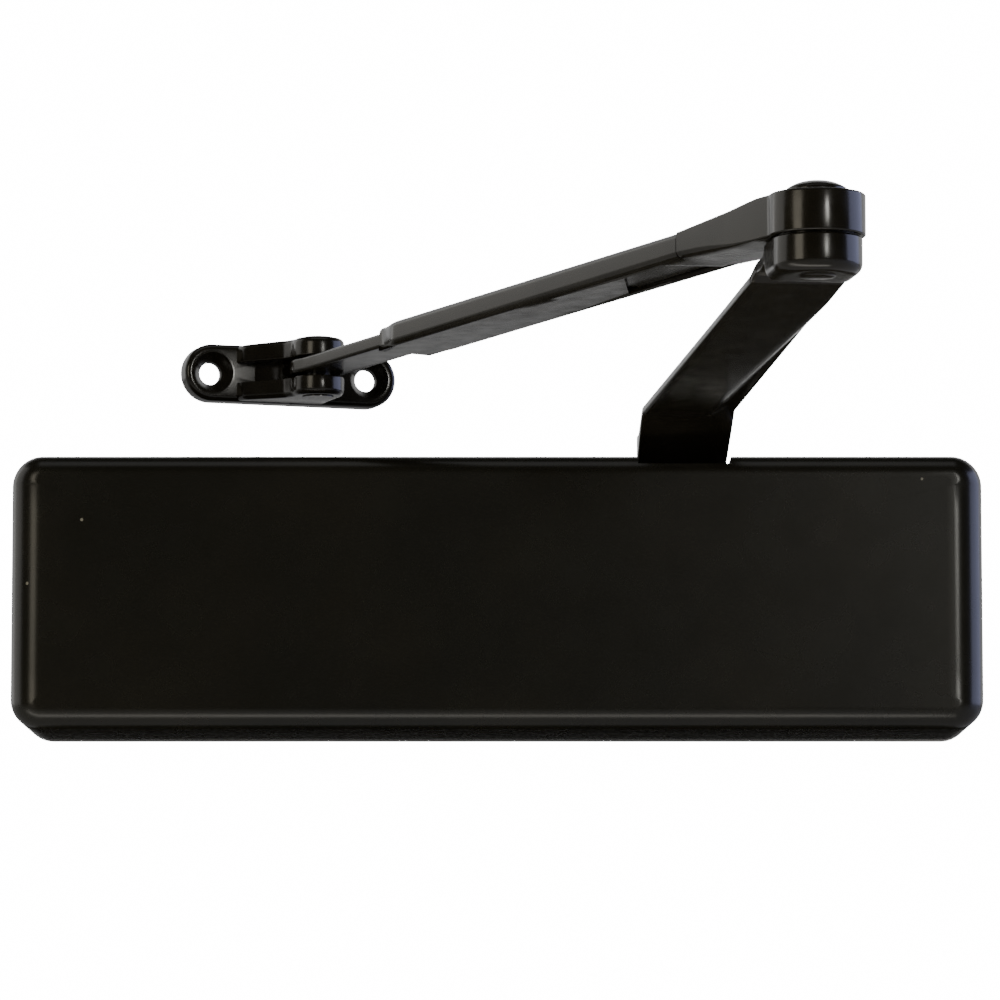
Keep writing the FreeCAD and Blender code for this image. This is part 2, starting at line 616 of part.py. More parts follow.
def piston():
    """Piston with the rack in its slot, its seal, and the check valve in its spring-side head."""
    radius = "(bore_radius - sliding_clearance)"
    chamber = "(check_ball_radius + check_gap)"
    length = f"({PISTON_RIGHT} - {PISTON_LEFT})"
    groove_end = "(piston_groove + ring_section)"
    groove_floor = f"{radius} - ring_section"
    profile = [(chamber, 0), (radius, 0), (radius, "piston_groove"), (groove_floor, "piston_groove"),
               (groove_floor, groove_end), (radius, groove_end), (radius, length), (0, length),
               (0, "piston_head"), ("check_seat_radius", "piston_head"),
               ("check_seat_radius", "check_chamber_depth"), (chamber, "check_chamber_depth")]
    blank = turned("piston_blank", profile, PISTON_LEFT, BACK_AXIS, 0, "X")
    slot = box("piston_slot", (SLOT_LEFT, f"{BACK_AXIS} - {TIP_RADIUS} - slot_clearance", "-bore_radius"),
               (SLOT_RIGHT, f"{BACK_AXIS} + {PITCH_RADIUS} - gear_module", "bore_radius"))
    height = value("bore_radius")
    gaps = doc.addObject("Part::Feature", "rack_spaces")
    gaps.Shape = Part.Compound([gap.extrude(Vector(0, 0, 2 * height)) for gap in rack_gaps()])
    place(gaps, 0, 0, "-bore_radius")
    subpart(cut("piston_solid", blank, slot, gaps), "piston")
    subpart(turned("piston_ring", tube_profile(groove_floor, radius, "piston_groove", groove_end),
                   PISTON_LEFT, BACK_AXIS, 0, "X"), "piston_seal")


def check_valve():
    """Ball that closes the passage through the piston's head, and the plug that keeps it in."""
    radius, seat = value("check_ball_radius"), value("check_seat_radius")
    reach = math.sqrt(radius ** 2 - seat ** 2)
    ball = doc.addObject("Part::Sphere", "ball")
    ball.setExpression("Radius", cells("check_ball_radius"))
    place(ball, f"{PISTON_LEFT} + check_chamber_depth - {reach} - running_clearance", BACK_AXIS, 0)
    subpart(ball, "check_ball")
    length = f"(check_chamber_depth - {reach} - check_ball_radius - check_ball_lift - 2 * running_clearance)"
    plug = turned("check_plug", tube_profile("check_seat_radius", "check_ball_radius + check_gap", 0, length),
                  PISTON_LEFT, BACK_AXIS, 0, "X")
    subpart(plug, "check_ball_retainer")


# ---------------------------------------------------------------- closing spring

def closing_spring():
    """Round-wire compression spring between its seat and the piston."""
    wire = value("spring_wire_radius")
    start, end = value(SEAT_RIGHT) + wire, value(PISTON_LEFT) - wire
    mean = value(SPRING_MEAN)
    helix = Part.makeHelix((end - start) / value("spring_turns"), end - start, mean)
    section = Part.Wire(Part.makeCircle(wire, Vector(mean, 0, 0), Vector(0, 1, 0)))
    spring = doc.addObject("Part::Feature", "spring")
    spring.Shape = Part.Wire(helix).makePipeShell([section], True, True)
    place(spring, f"{SEAT_RIGHT} + spring_wire_radius", BACK_AXIS, 0, "X")
    subpart(spring, "closing_spring")


def spring_adjuster():
    """Threaded seat behind the spring and the screw that draws it along."""
    hole = "(adjuster_radius + running_clearance)"
    nose = f"({SPRING_MEAN} - spring_wire_radius - seat_nose_gap)"
    full = "(bore_radius - sliding_clearance)"
    seat = turned("seat_blank", [(hole, 0), (full, 0), (full, "seat_thickness"), (nose, "seat_thickness"),
                                 (nose, "seat_thickness + seat_nose_length"),
                                 (hole, "seat_thickness + seat_nose_length")],
                  SEAT_LEFT, BACK_AXIS, 0, "X")
    subpart(seat, "spring_seat")
    shank = f"(adjuster_reach + {CAP_LENGTH} + adjuster_head_gap)"
    screw = turned("adjuster_blank", [(0, 0), ("adjuster_radius", 0), ("adjuster_radius", shank),
                                      ("adjuster_head_radius", shank),
                                      ("adjuster_head_radius", f"{shank} + adjuster_head_length"),
                                      (0, f"{shank} + adjuster_head_length")],
                   f"adjuster_reach - {CAP_INNER}", BACK_AXIS, 0, "-X")
    socket = hexagon("adjuster_socket", "adjuster_radius", "adjuster_head_length",
                     f"adjuster_reach - {CAP_INNER} - {shank} - adjuster_head_length / 3", BACK_AXIS, 0, "-X")
    subpart(cut("adjuster", screw, socket), "spring_adjusting_screw")


# ---------------------------------------------------------------- valve screws, brackets, cover screws

def valve_screws():
    """Sweep, latch and backcheck regulating screws, each with a slot across its head."""
    for number, name in enumerate(("sweep", "latch", "backcheck")):
        x = f"({VALVE_X} + {number - 1} * valve_pitch)"
        tip = "valve_radius / 2"
        length = f"(valve_length - {PAST})"
        blank = turned(f"{name}_blank", [(0, 0), (tip, 0), ("valve_radius", tip), ("valve_radius", length),
                                         ("valve_radius", f"{length} + valve_head_proud"),
                                         (0, f"{length} + valve_head_proud")],
                       x, f"{length} - {VALVE_FACE}", VALVE_HEIGHT, "-Y")
        slot_floor = f"-{VALVE_FACE} - valve_head_proud / 4"
        slot = box(f"{name}_slot", (f"{x} - valve_radius", f"-{VALVE_FACE} - valve_head_proud - {PAST}",
                                    f"{VALVE_HEIGHT} - valve_radius / 5"),
                   (f"{x} + valve_radius", slot_floor, f"{VALVE_HEIGHT} + valve_radius / 5"))
        subpart(cut(f"{name}_screw", blank, slot), f"{name}_valve_screw")


def cover_fixings():
    """Angle brackets on the foot plate, their screws, and the screws through the cover's ends."""
    foot_start = f"({BODY_END} + cap_flange_thickness + bracket_foot_gap)"
    screw_foot = f"(plate_thickness - {PAST} + bracket_sheet)"
    screw_top = f"({screw_foot} + small_head_height)"
    brackets, bracket_screws, cover_screws = [], [], []
    for number, sign in enumerate(("", "-")):
        foot = box(f"bracket_foot_{number}",
                   (foot_start, "-plate_thickness - bracket_sheet", "-bracket_half_height"),
                   (COVER_INSIDE, "-plate_thickness", "bracket_half_height"))
        upright = box(f"bracket_upright_{number}",
                      (f"{COVER_INSIDE} - bracket_sheet", f"{BACK_AXIS} - bracket_reach", "-bracket_half_height"),
                      (COVER_INSIDE, "-plate_thickness", "bracket_half_height"))
        holes = [rod(f"bracket_foot_hole_{number}_{index}", "small_screw_radius", f"bracket_sheet + 2 * {PAST}",
                     x, f"-plate_thickness - bracket_sheet - {PAST}", z, "Y")
                 for index, (x, z) in enumerate(bracket_screw_places()) if not x.startswith("-")]
        holes.append(rod(f"bracket_end_hole_{number}", "small_screw_radius", f"bracket_sheet + 2 * {PAST}",
                         f"{COVER_INSIDE} - bracket_sheet - {PAST}", BACK_AXIS, 0, "X"))
        bracket = cut(f"bracket_{number}", fuse(f"bracket_solid_{number}", foot, upright), *holes)
        if sign == "-":
            bracket = mirrored(f"bracket_{number}_mirrored", bracket)
        brackets.append(bracket)
        cover_screws.append(turned(f"cover_screw_{number}",
                                   [(0, 0), ("small_screw_radius", 0), ("small_screw_radius", "cover_screw_length"),
                                    ("small_head_radius", "cover_screw_length + cover_wall"),
                                    (0, "cover_screw_length + cover_wall")],
                                   f"{sign}({COVER_INSIDE} - cover_screw_length)", BACK_AXIS, 0, f"{sign}X"))
    for number, (x, z) in enumerate(bracket_screw_places()):
        bracket_screws.append(turned(f"bracket_screw_{number}",
                                     [(0, 0), ("small_screw_radius", 0), ("small_screw_radius", screw_foot),
                                      ("small_head_radius", screw_foot), ("small_head_radius * 0.8", screw_top),
                                      (0, screw_top)],
                                     x, -PAST, z, "-Y"))
    subpart(group("brackets", *brackets), "cover_brackets")
    subpart(group("bracket_screw_set", *bracket_screws), "bracket_screws")
    subpart(group("cover_screw_set", *cover_screws), "cover_screws")


# ---------------------------------------------------------------- main arm

def along_main_arm(item):
    """Sets a piece drawn along +X from the pinion axis to the arm's own direction."""
    item.Placement = Placement(Vector(0, 0, 0), Rotation(Vector(0, 0, 1), -80))
    item.setExpression("Placement.Rotation.Angle", cells("arm_swing - 90"))
    item.setExpression("Placement.Base.x", cells(PINION_X))
    item.setExpression("Placement.Base.y", cells(BACK_AXIS))
    return item


def crowned(width, floor, thickness):
    """Section of the forged bar: flat below, short upright edges, sloping shoulders, flat top."""
    half, flat = f"({width}) / 2", "bar_crown_width / 2"
    shoulder, top = f"{floor} + bar_edge", f"{floor} + {thickness}"
    return [(f"-{half}", floor), (half, floor), (half, shoulder), (flat, top), (f"-{flat}", top),
            (f"-{half}", shoulder)]


def main_arm():
    """Forged main arm: hub on the pinion's square, riser, crowned bar, neck and lower knuckle."""
    far = "(arm_centres - neck_length)"
    hub_chord = "2 * sqrt(hub_radius * hub_radius - riser_start * riser_start)"
    bar = lofted("arm_bar", [("riser_start", crowned(hub_chord, HUB_FLOOR, "hub_thickness")),
                             ("riser_end", crowned("bar_width_near", BAR_NEAR, "bar_thickness")),
                             (far, crowned("bar_width_far", BAR_FAR, "bar_thickness"))])
    neck = box("arm_neck", (f"{far} - neck_overlap", "-elbow_radius", f"{HUB_FLOOR} + neck_rise"),
               ("arm_centres", "elbow_radius", f"{ELBOW_SPLIT} - neck_drop"))
    hub = rod("arm_hub", "hub_radius", "hub_thickness", 0, 0, HUB_FLOOR)
    knuckle = rounded("arm_knuckle",
                      rod("arm_knuckle_blank", "elbow_radius", "elbow_height", "arm_centres", 0, ELBOW_FLOOR),
                      "elbow_round", lambda edge: edge.BoundBox.ZMax < value(ELBOW_FLOOR) + 1e-6)
    half = "(square_width / 2 + running_clearance)"
    square = box("arm_square", (f"-{half}", f"-{half}", f"{HUB_FLOOR} - {PAST}"),
                 (half, half, f"{HUB_TOP} + {PAST}"))
    hole = rod("arm_pin_hole", "elbow_pin_radius", f"elbow_height + 2 * {PAST}", "arm_centres", 0,
               f"{ELBOW_FLOOR} - {PAST}")
    subpart(along_main_arm(cut("arm", fuse("arm_solid", bar, neck, hub, knuckle), square, hole)), "main_arm")


def arm_fasteners():
    """Screw and washer that hold the arm on the pinion."""
    washer_top = f"({HUB_TOP} + arm_washer_thickness)"
    subpart(turned("washer_blank", tube_profile("arm_screw_radius", "arm_washer_radius", HUB_TOP, washer_top),
                   PINION_X, BACK_AXIS, 0), "arm_washer")
    shank = rod("screw_shank", "arm_screw_radius", "3 * arm_screw_radius + arm_washer_thickness", PINION_X,
                BACK_AXIS, f"{HUB_TOP} - 3 * arm_screw_radius")
    head = hexagon("screw_head", "arm_screw_radius * 1.8", "arm_screw_radius * 1.3", PINION_X, BACK_AXIS,
                   washer_top)
    subpart(fuse("screw_solid", shank, head), "arm_screw")


def elbow_rivet():
    """Elbow pin riveted in the main arm, with a domed head over the forearm's knuckle."""
    head_low = f"({KNUCKLE_TOP} + elbow_head_gap)"
    shank = rod("rivet_shank", "elbow_pin_radius", f"{head_low} - {ELBOW_FLOOR} + elbow_rivet_proud", ELBOW_X,
                ELBOW_Y, f"{ELBOW_FLOOR} - elbow_rivet_proud")
    dome = turned("rivet_dome", [(0, head_low), ("elbow_head_radius", head_low),
                                 ("elbow_head_radius", f"{head_low} + elbow_head_height / 3"),
                                 ("elbow_head_radius * 0.72", f"{head_low} + elbow_head_height * 0.8"),
                                 ("elbow_head_radius * 0.36", f"{head_low} + elbow_head_height"),
                                 (0, f"{head_low} + elbow_head_height")], ELBOW_X, ELBOW_Y, 0)
    subpart(fuse("rivet", shank, dome), "elbow_rivet")
    subpart(turned("elbow_ring", tube_profile("elbow_pin_radius", "washer_radius", ELBOW_SPLIT,
                                              KNUCKLE_FLOOR), ELBOW_X, ELBOW_Y, 0), "elbow_washer")


# ---------------------------------------------------------------- forearm

def along_forearm(item):
    """Sets a piece drawn along +X from the elbow axis to the forearm's own direction."""
    item.Placement = Placement(Vector(0, 0, 0), Rotation(Vector(0, 0, 1), 120))
    item.setExpression("Placement.Rotation.Angle", cells("forearm_heading"))
    item.setExpression("Placement.Base.x", cells(ELBOW_X))
    item.setExpression("Placement.Base.y", cells(ELBOW_Y))
    return item


def forearm_level(distance):
    """Height of the forearm's middle line at a distance from the elbow axis."""
    return f"({KNUCKLE_MIDDLE} - forearm_drop * ({distance}) / forearm_reach)"


def bar_section(distance, width, height):
    """A rectangular section of the forearm, centred on its middle line."""
    half, low = f"({width}) / 2", f"{forearm_level(distance)} - ({height}) / 2"
    high = f"{forearm_level(distance)} + ({height}) / 2"
    return (distance, [(f"-{half}", low), (half, low), (half, high), (f"-{half}", high)])


def straight_bar(name, start, end, width, height):
    """A bar of one rectangular section along the forearm's middle line."""
    return lofted(name, [bar_section(start, width, height), bar_section(end, width, height)])


def elbow_piece():
    """Forged end of the forearm: knuckle, tapered neck and the tongue held in the sleeve."""
    knuckle = rod("forearm_knuckle", "knuckle_radius", "knuckle_thickness", 0, 0, KNUCKLE_FLOOR)
    wide = "(sleeve_width / 2)"
    level = [(f"-{wide}", KNUCKLE_FLOOR), (wide, KNUCKLE_FLOOR), (wide, KNUCKLE_TOP), (f"-{wide}", KNUCKLE_TOP)]
    neck = lofted("forearm_neck", [("knuckle_radius / 3", level), ("knuckle_radius", level),
                                   bar_section("sleeve_start", "sleeve_width", "sleeve_height")])
    inside = "2 * (sleeve_wall + tongue_gap)"
    tongue = straight_bar("forearm_tongue", f"sleeve_start - {PAST}", "sleeve_start + tongue_length",
                          f"sleeve_width - {inside}", f"sleeve_height - {inside}")
    hole = rod("forearm_pin_hole", "elbow_pin_radius + pin_clearance", f"knuckle_thickness + 2 * {PAST}", 0, 0,
               f"{KNUCKLE_FLOOR} - {PAST}")
    subpart(along_forearm(cut("forearm_end", fuse("forearm_end_solid", knuckle, neck, tongue), hole)),
            "forearm_elbow_piece")


def forearm_sleeve():
    """Folded sheet sleeve, with the opening in its underside next to the elbow piece."""
    outside = straight_bar("sleeve_outside", "sleeve_start", SLEEVE_END, "sleeve_width", "sleeve_height")
    inside = straight_bar("sleeve_inside", f"sleeve_start - {PAST}", f"{SLEEVE_END} + {PAST}",
                          "sleeve_width - 2 * sleeve_wall", "sleeve_height - 2 * sleeve_wall")
    window_end = "(sleeve_start + sleeve_window)"
    window = box("sleeve_window", (f"sleeve_start - {PAST}", "-sleeve_window_width / 2",
                                   f"{forearm_level(window_end)} - sleeve_height"),
                 (window_end, "sleeve_window_width / 2", forearm_level(window_end)))
    screw_hole = rod("clamp_hole", "clamp_screw_radius + running_clearance", "sleeve_height",
                     CLAMP_SPOT, 0, forearm_level(CLAMP_SPOT))
    subpart(along_forearm(cut("sleeve", outside, inside, window, screw_hole)), "forearm_sleeve")


def forearm_rod():
    """Rod that slides in the sleeve, with a flat eye for the shoe's pin."""
    bar = straight_bar("rod_bar", ROD_START, "forearm_reach - rod_eye_radius / 3", "rod_width", ROD_HEIGHT)
    eye = rod("rod_eye", "rod_eye_radius", ROD_HEIGHT, "forearm_reach", 0, f"{PIN_LEVEL} - {ROD_HEIGHT} / 2")
    hole = rod("rod_eye_hole", "shoe_pin_radius + pin_clearance", f"{ROD_HEIGHT} + 2 * {PAST}",
               "forearm_reach", 0, f"{PIN_LEVEL} - {ROD_HEIGHT} / 2 - {PAST}")
    subpart(along_forearm(cut("rod_blank", fuse("rod_solid", bar, eye), hole)), "forearm_rod")


def clamp_screw():
    """Socket screw in the top of the sleeve that holds the rod where it is set."""
    foot = f"({forearm_level(CLAMP_SPOT)} + {ROD_HEIGHT} / 2 + clamp_screw_gap)"
    top = f"({forearm_level(CLAMP_SPOT)} + sleeve_height / 2 + clamp_screw_height)"
    barrel = rod("clamp_barrel", "clamp_screw_radius", f"{top} - {foot}", CLAMP_SPOT, 0, foot)
    socket = hexagon("clamp_socket", "clamp_screw_radius * 0.6", "clamp_screw_height", CLAMP_SPOT, 0,
                     f"{top} - clamp_screw_height * 0.7")
    subpart(along_forearm(cut("clamp_screw_solid", barrel, socket)), "rod_clamp_screw")


# ---------------------------------------------------------------- shoe

def at_shoe(item):
    """Sets a piece drawn round the shoe's pin, plate square to Y, to the pin's place and turn."""
    item.Placement = Placement(Vector(0, 0, 0), Rotation(Vector(0, 0, 1), 10))
    item.setExpression("Placement.Rotation.Angle", cells("shoe_turn"))
    item.setExpression("Placement.Base.x", cells(f"{ELBOW_X} + forearm_reach * cos(forearm_heading)"))
    item.setExpression("Placement.Base.y", cells(f"{ELBOW_Y} + forearm_reach * sin(forearm_heading)"))
    item.setExpression("Placement.Base.z", cells(PIN_LEVEL))
    return item


def shoe():
    """Forged shoe: plate with two countersunk ears and the prongs that take the rod's eye."""
    face, half = "(shoe_standoff - shoe_plate)", "shoe_pitch / 2"
    centres = [f"{side}{half} - shoe_offset" for side in ("", "-")]
    plate = box("shoe_plate_block", (centres[1], face, "-shoe_ear_radius"),
                (centres[0], "shoe_standoff", "shoe_ear_radius"))
    ears = [rod(f"shoe_ear_{number}", "shoe_ear_radius", "shoe_plate", centre, face, 0, "Y")
            for number, centre in enumerate(centres)]
    body = new_body("shoe_prong_block")
    root = "prong_root_half"
    sketch = outline(body, "shoe_prong_outline", "XY_Plane",
                     [(f"-{root}", f"{face} + {PAST}"), ("-prong_radius", 0), ("prong_radius", 0),
                      (root, f"{face} + {PAST}")])
    pad = body.newObject("PartDesign::Pad", "shoe_prong_pad")
    pad.Profile = sketch
    pad.setExpression("Length", cells("shoe_height"))
    pad.Midplane = True
    nose = rod("shoe_prong_nose", "prong_radius", "shoe_height", 0, 0, "-shoe_height / 2")
    gap = f"({ROD_HEIGHT} / 2 + prong_gap)"
    slot = box("shoe_slot", ("-2 * prong_root_half", f"-prong_radius - {PAST}", f"-{gap}"),
               ("2 * prong_root_half", "rod_eye_radius + eye_clearance", gap))
    holes = [rod("shoe_pin_hole", "shoe_pin_radius", f"shoe_height + 2 * {PAST}", 0, 0,
                 f"-shoe_height / 2 - {PAST}")]
    for number, centre in enumerate(centres):
        holes.append(rod(f"shoe_hole_{number}", "shoe_hole_radius", f"shoe_plate + 2 * {PAST}", centre,
                         f"{face} - {PAST}", 0, "Y"))
        holes.append(cone(f"shoe_sink_{number}", "shoe_sink_radius", "shoe_hole_radius", "shoe_sink_depth",
                          centre, face, 0, "Y"))
    subpart(at_shoe(cut("shoe_casting", fuse("shoe_solid", plate, *ears, body, nose), slot, *holes)), "shoe")
    top, head = "(shoe_height / 2)", "(shoe_height / 2 + shoe_pin_proud)"
    pin = turned("shoe_pin_blank", [(0, f"-{head}"), ("shoe_pin_head_radius", f"-{head}"),
                                    ("shoe_pin_head_radius", f"-{top}"), ("shoe_pin_radius", f"-{top}"),
                                    ("shoe_pin_radius", top), ("shoe_pin_head_radius", top),
                                    ("shoe_pin_head_radius", head), (0, head)])
    subpart(at_shoe(pin), "shoe_pin")


# ---------------------------------------------------------------- building and writing

def check_objects():
    """Stops if any object failed or any sub-part has no valid shape."""
    failed = [item.Name for item in doc.Objects if {"Invalid", "Error"} & set(item.State)]
    failed += [item.Label for item in subparts if item.Shape.isNull() or not item.Shape.isValid()
               or not item.Shape.Solids]
    if failed:
        raise RuntimeError("objects that failed: " + ", ".join(failed))


def main():
    for make in (cover, body_casting, end_caps, bearings, pinion_shaft, piston, check_valve, closing_spring,
                 spring_adjuster, valve_screws, cover_fixings, main_arm, arm_fasteners, elbow_rivet, elbow_piece,
                 forearm_sleeve, forearm_rod, clamp_screw, shoe):
        make()
    doc.recompute()
    check_objects()
    os.makedirs("parts", exist_ok=True)
    for item in subparts:
        item.Shape.exportStep(f"parts/{item.Label}.step")
    print(f"{len(subparts)} sub-parts written")


main()
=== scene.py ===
"""Looks of the door closer: enamelled cover, forged and folded arms, and the works inside.

Every new piece is a surface worked out with numpy in the frame's own metres.  The sizes that
follow are read from the frame's boxes and joints, so the looks fit the parts they stand for.
"""

import json
import math

import bpy
import numpy as np
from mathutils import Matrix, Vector


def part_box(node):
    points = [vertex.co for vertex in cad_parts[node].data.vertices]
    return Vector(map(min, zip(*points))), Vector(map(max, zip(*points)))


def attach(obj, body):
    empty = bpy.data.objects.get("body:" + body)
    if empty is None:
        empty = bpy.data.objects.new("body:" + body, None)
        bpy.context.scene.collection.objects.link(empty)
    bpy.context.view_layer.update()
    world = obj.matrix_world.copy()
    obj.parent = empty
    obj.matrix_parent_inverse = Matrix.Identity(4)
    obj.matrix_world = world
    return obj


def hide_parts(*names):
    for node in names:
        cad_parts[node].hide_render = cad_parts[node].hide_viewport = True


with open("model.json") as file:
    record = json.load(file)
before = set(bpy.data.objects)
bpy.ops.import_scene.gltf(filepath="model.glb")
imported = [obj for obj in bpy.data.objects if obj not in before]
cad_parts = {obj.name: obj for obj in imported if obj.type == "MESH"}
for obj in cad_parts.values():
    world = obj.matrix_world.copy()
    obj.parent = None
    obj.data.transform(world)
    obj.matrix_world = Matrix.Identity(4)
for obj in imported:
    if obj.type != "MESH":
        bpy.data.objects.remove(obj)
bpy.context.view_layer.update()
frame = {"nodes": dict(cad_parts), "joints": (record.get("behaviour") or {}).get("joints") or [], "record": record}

bl_info = {
    "name": "Door closer looks",
    "version": (1, 0, 0),
    "blender": (4, 5, 0),
    "location": "3D View > Sidebar > Door closer",
    "description": "Builds the visible pieces and finishes of a surface door closer",
    "category": "Object",
}

MM = 0.001
FACET_SLOPE = 0.7
SHOE_ANGLE = math.radians(19)


# ---------------------------------------------------------------- places read from the frame

def joint_place(name):
    """Where a joint's axis stands, as a numpy point."""
    joint = next(joint for joint in frame["joints"] if joint["name"] == name)
    return np.array(joint["pos_m"], float)


def low(node):
    return np.array(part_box(node)[0])


def high(node):
    return np.array(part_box(node)[1])


PINION = joint_place("pinion_turn")
ELBOW = joint_place("elbow_swing")
SHOE_PIN = joint_place("shoe_swivel")
ARM_LINE = (ELBOW - PINION)[:2] / np.linalg.norm((ELBOW - PINION)[:2])
ARM_LENGTH = float(np.linalg.norm((ELBOW - PINION)[:2]))
FOREARM_LINE = (SHOE_PIN - ELBOW)[:2] / np.linalg.norm((SHOE_PIN - ELBOW)[:2])
FOREARM_LENGTH = float(np.linalg.norm((SHOE_PIN - ELBOW)[:2]))
SHOE_TURN = np.array([math.cos(SHOE_ANGLE), math.sin(SHOE_ANGLE)])
FOREARM_SLOPE = float((SHOE_PIN - ELBOW)[2]) / FOREARM_LENGTH


# ---------------------------------------------------------------- meshes

def linear(hex_colour):
    """An sRGB hex colour as linear red, green, blue and full alpha."""
    parts = [int(hex_colour[start:start + 2], 16) / 255 for start in (1, 3, 5)]
    return tuple(part / 12.92 if part <= 0.04045 else ((part + 0.055) / 1.055) ** 2.4
                 for part in parts) + (1.0,)


def grid_quads(rows, columns, start, wrap, flip=False, keep=None):
    """Quads of a grid of points numbered row by row; wrap joins the last column to the first."""
    row, column = np.meshgrid(np.arange(rows - 1), np.arange(columns if wrap else columns - 1),
                              indexing="ij")
    beside = (column + 1) % columns
    quads = np.stack([row * columns + column, row * columns + beside,
                      (row + 1) * columns + beside, (row + 1) * columns + column], axis=-1) + start
    quads = quads[keep] if keep is not None else quads.reshape(-1, 4)
    return quads[:, ::-1] if flip else quads


def new_piece(name, points, faces, body, material, sharp=35.0):
    """A mesh object from points and faces, smooth except past an angle, riding on a body."""
    mesh = bpy.data.meshes.new(name)
    mesh.from_pydata(np.asarray(points, float).tolist(), [], [list(map(int, face)) for face in faces])
    mesh.validate()
    mesh.shade_smooth()
    mesh.set_sharp_from_angle(angle=math.radians(sharp))
    mesh.materials.append(material)
    piece = bpy.data.objects.new(name, mesh)
    bpy.context.scene.collection.objects.link(piece)
    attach(piece, body)
    return piece


def stand_for(piece, *nodes, slot="bronze_enamel"):
    """Hides the CAD nodes that a piece stands for. The slot is not used."""
    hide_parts(*nodes)


def shell(outer, inner, keep):
    """A sheet with two skins, grids of the same size wrapped round in columns.  Quads outside
    keep are left open, and a rim joins the skins along every open edge."""
    rows, columns = outer.shape[:2]
    count = rows * columns
    faces = [grid_quads(rows, columns, 0, True, False, keep),
             grid_quads(rows, columns, count, True, True, keep)]
    row, column = np.meshgrid(np.arange(rows), np.arange(columns), indexing="ij")
    number, beside = row * columns + column, row * columns + (column + 1) % columns
    padded = np.vstack([np.zeros((1, columns), bool), keep, np.zeros((1, columns), bool)])
    above, below = padded[:-1], padded[1:]
    for one_side, flip in ((below & ~above, True), (above & ~below, False)):
        first, second = number[one_side], beside[one_side]
        rim = np.stack([first, second, second + count, first + count], axis=-1)
        faces.append(rim[:, ::-1] if flip else rim)
    left = np.roll(keep, 1, axis=1)
    for one_side, flip in ((keep & ~left, False), (left & ~keep, True)):
        first = number[:-1][one_side]
        rim = np.stack([first, first + columns, first + columns + count, first + count], axis=-1)
        faces.append(rim[:, ::-1] if flip else rim)
    points = np.vstack([outer.reshape(-1, 3), inner.reshape(-1, 3)])
    return points, np.vstack(faces)


def smooth_step(value, start, end):
    """0 before start, 1 after end, and a smooth S between them."""
    part = np.clip((value - start) / (end - start), 0, 1)
    return part * part * (3 - 2 * part)


def ramp(value, *stops):
    """Straight lines between (place, height) stops."""
    places, heights = zip(*stops)
    return np.interp(value, places, heights)


def arc(start, end, steps):
    """Angles in degrees from start to end, as radians."""
    return np.radians(np.linspace(start, end, steps))


def turned_surface(name, profile, centre, body, material, steps=96):
    """A round piece: each (radius, height) of the profile carried round a vertical axis.
    The first and last radius are 0, so the two poles are single points."""
    profile = np.array(profile, float)
    turn = np.linspace(0, 2 * math.pi, steps, endpoint=False)
    radius, height = profile[1:-1, 0][:, None], profile[1:-1, 1][:, None]
    grid = np.stack([centre[0] + radius * np.cos(turn), centre[1] + radius * np.sin(turn),
                     height + 0 * turn], axis=-1)
    poles = [[centre[0], centre[1], profile[0, 1]], [centre[0], centre[1], profile[-1, 1]]]
    points = np.vstack([grid.reshape(-1, 3), poles])
    rows = len(profile) - 2
    around = np.arange(steps)
    beside = (around + 1) % steps
    last = (rows - 1) * steps
    faces = grid_quads(rows, steps, 0, True).tolist()
    faces += np.stack([beside, around, np.full(steps, rows * steps)], axis=-1).tolist()
    faces += np.stack([around + last, beside + last, np.full(steps, rows * steps + 1)], axis=-1).tolist()
    return new_piece(name, points, faces, body, material)


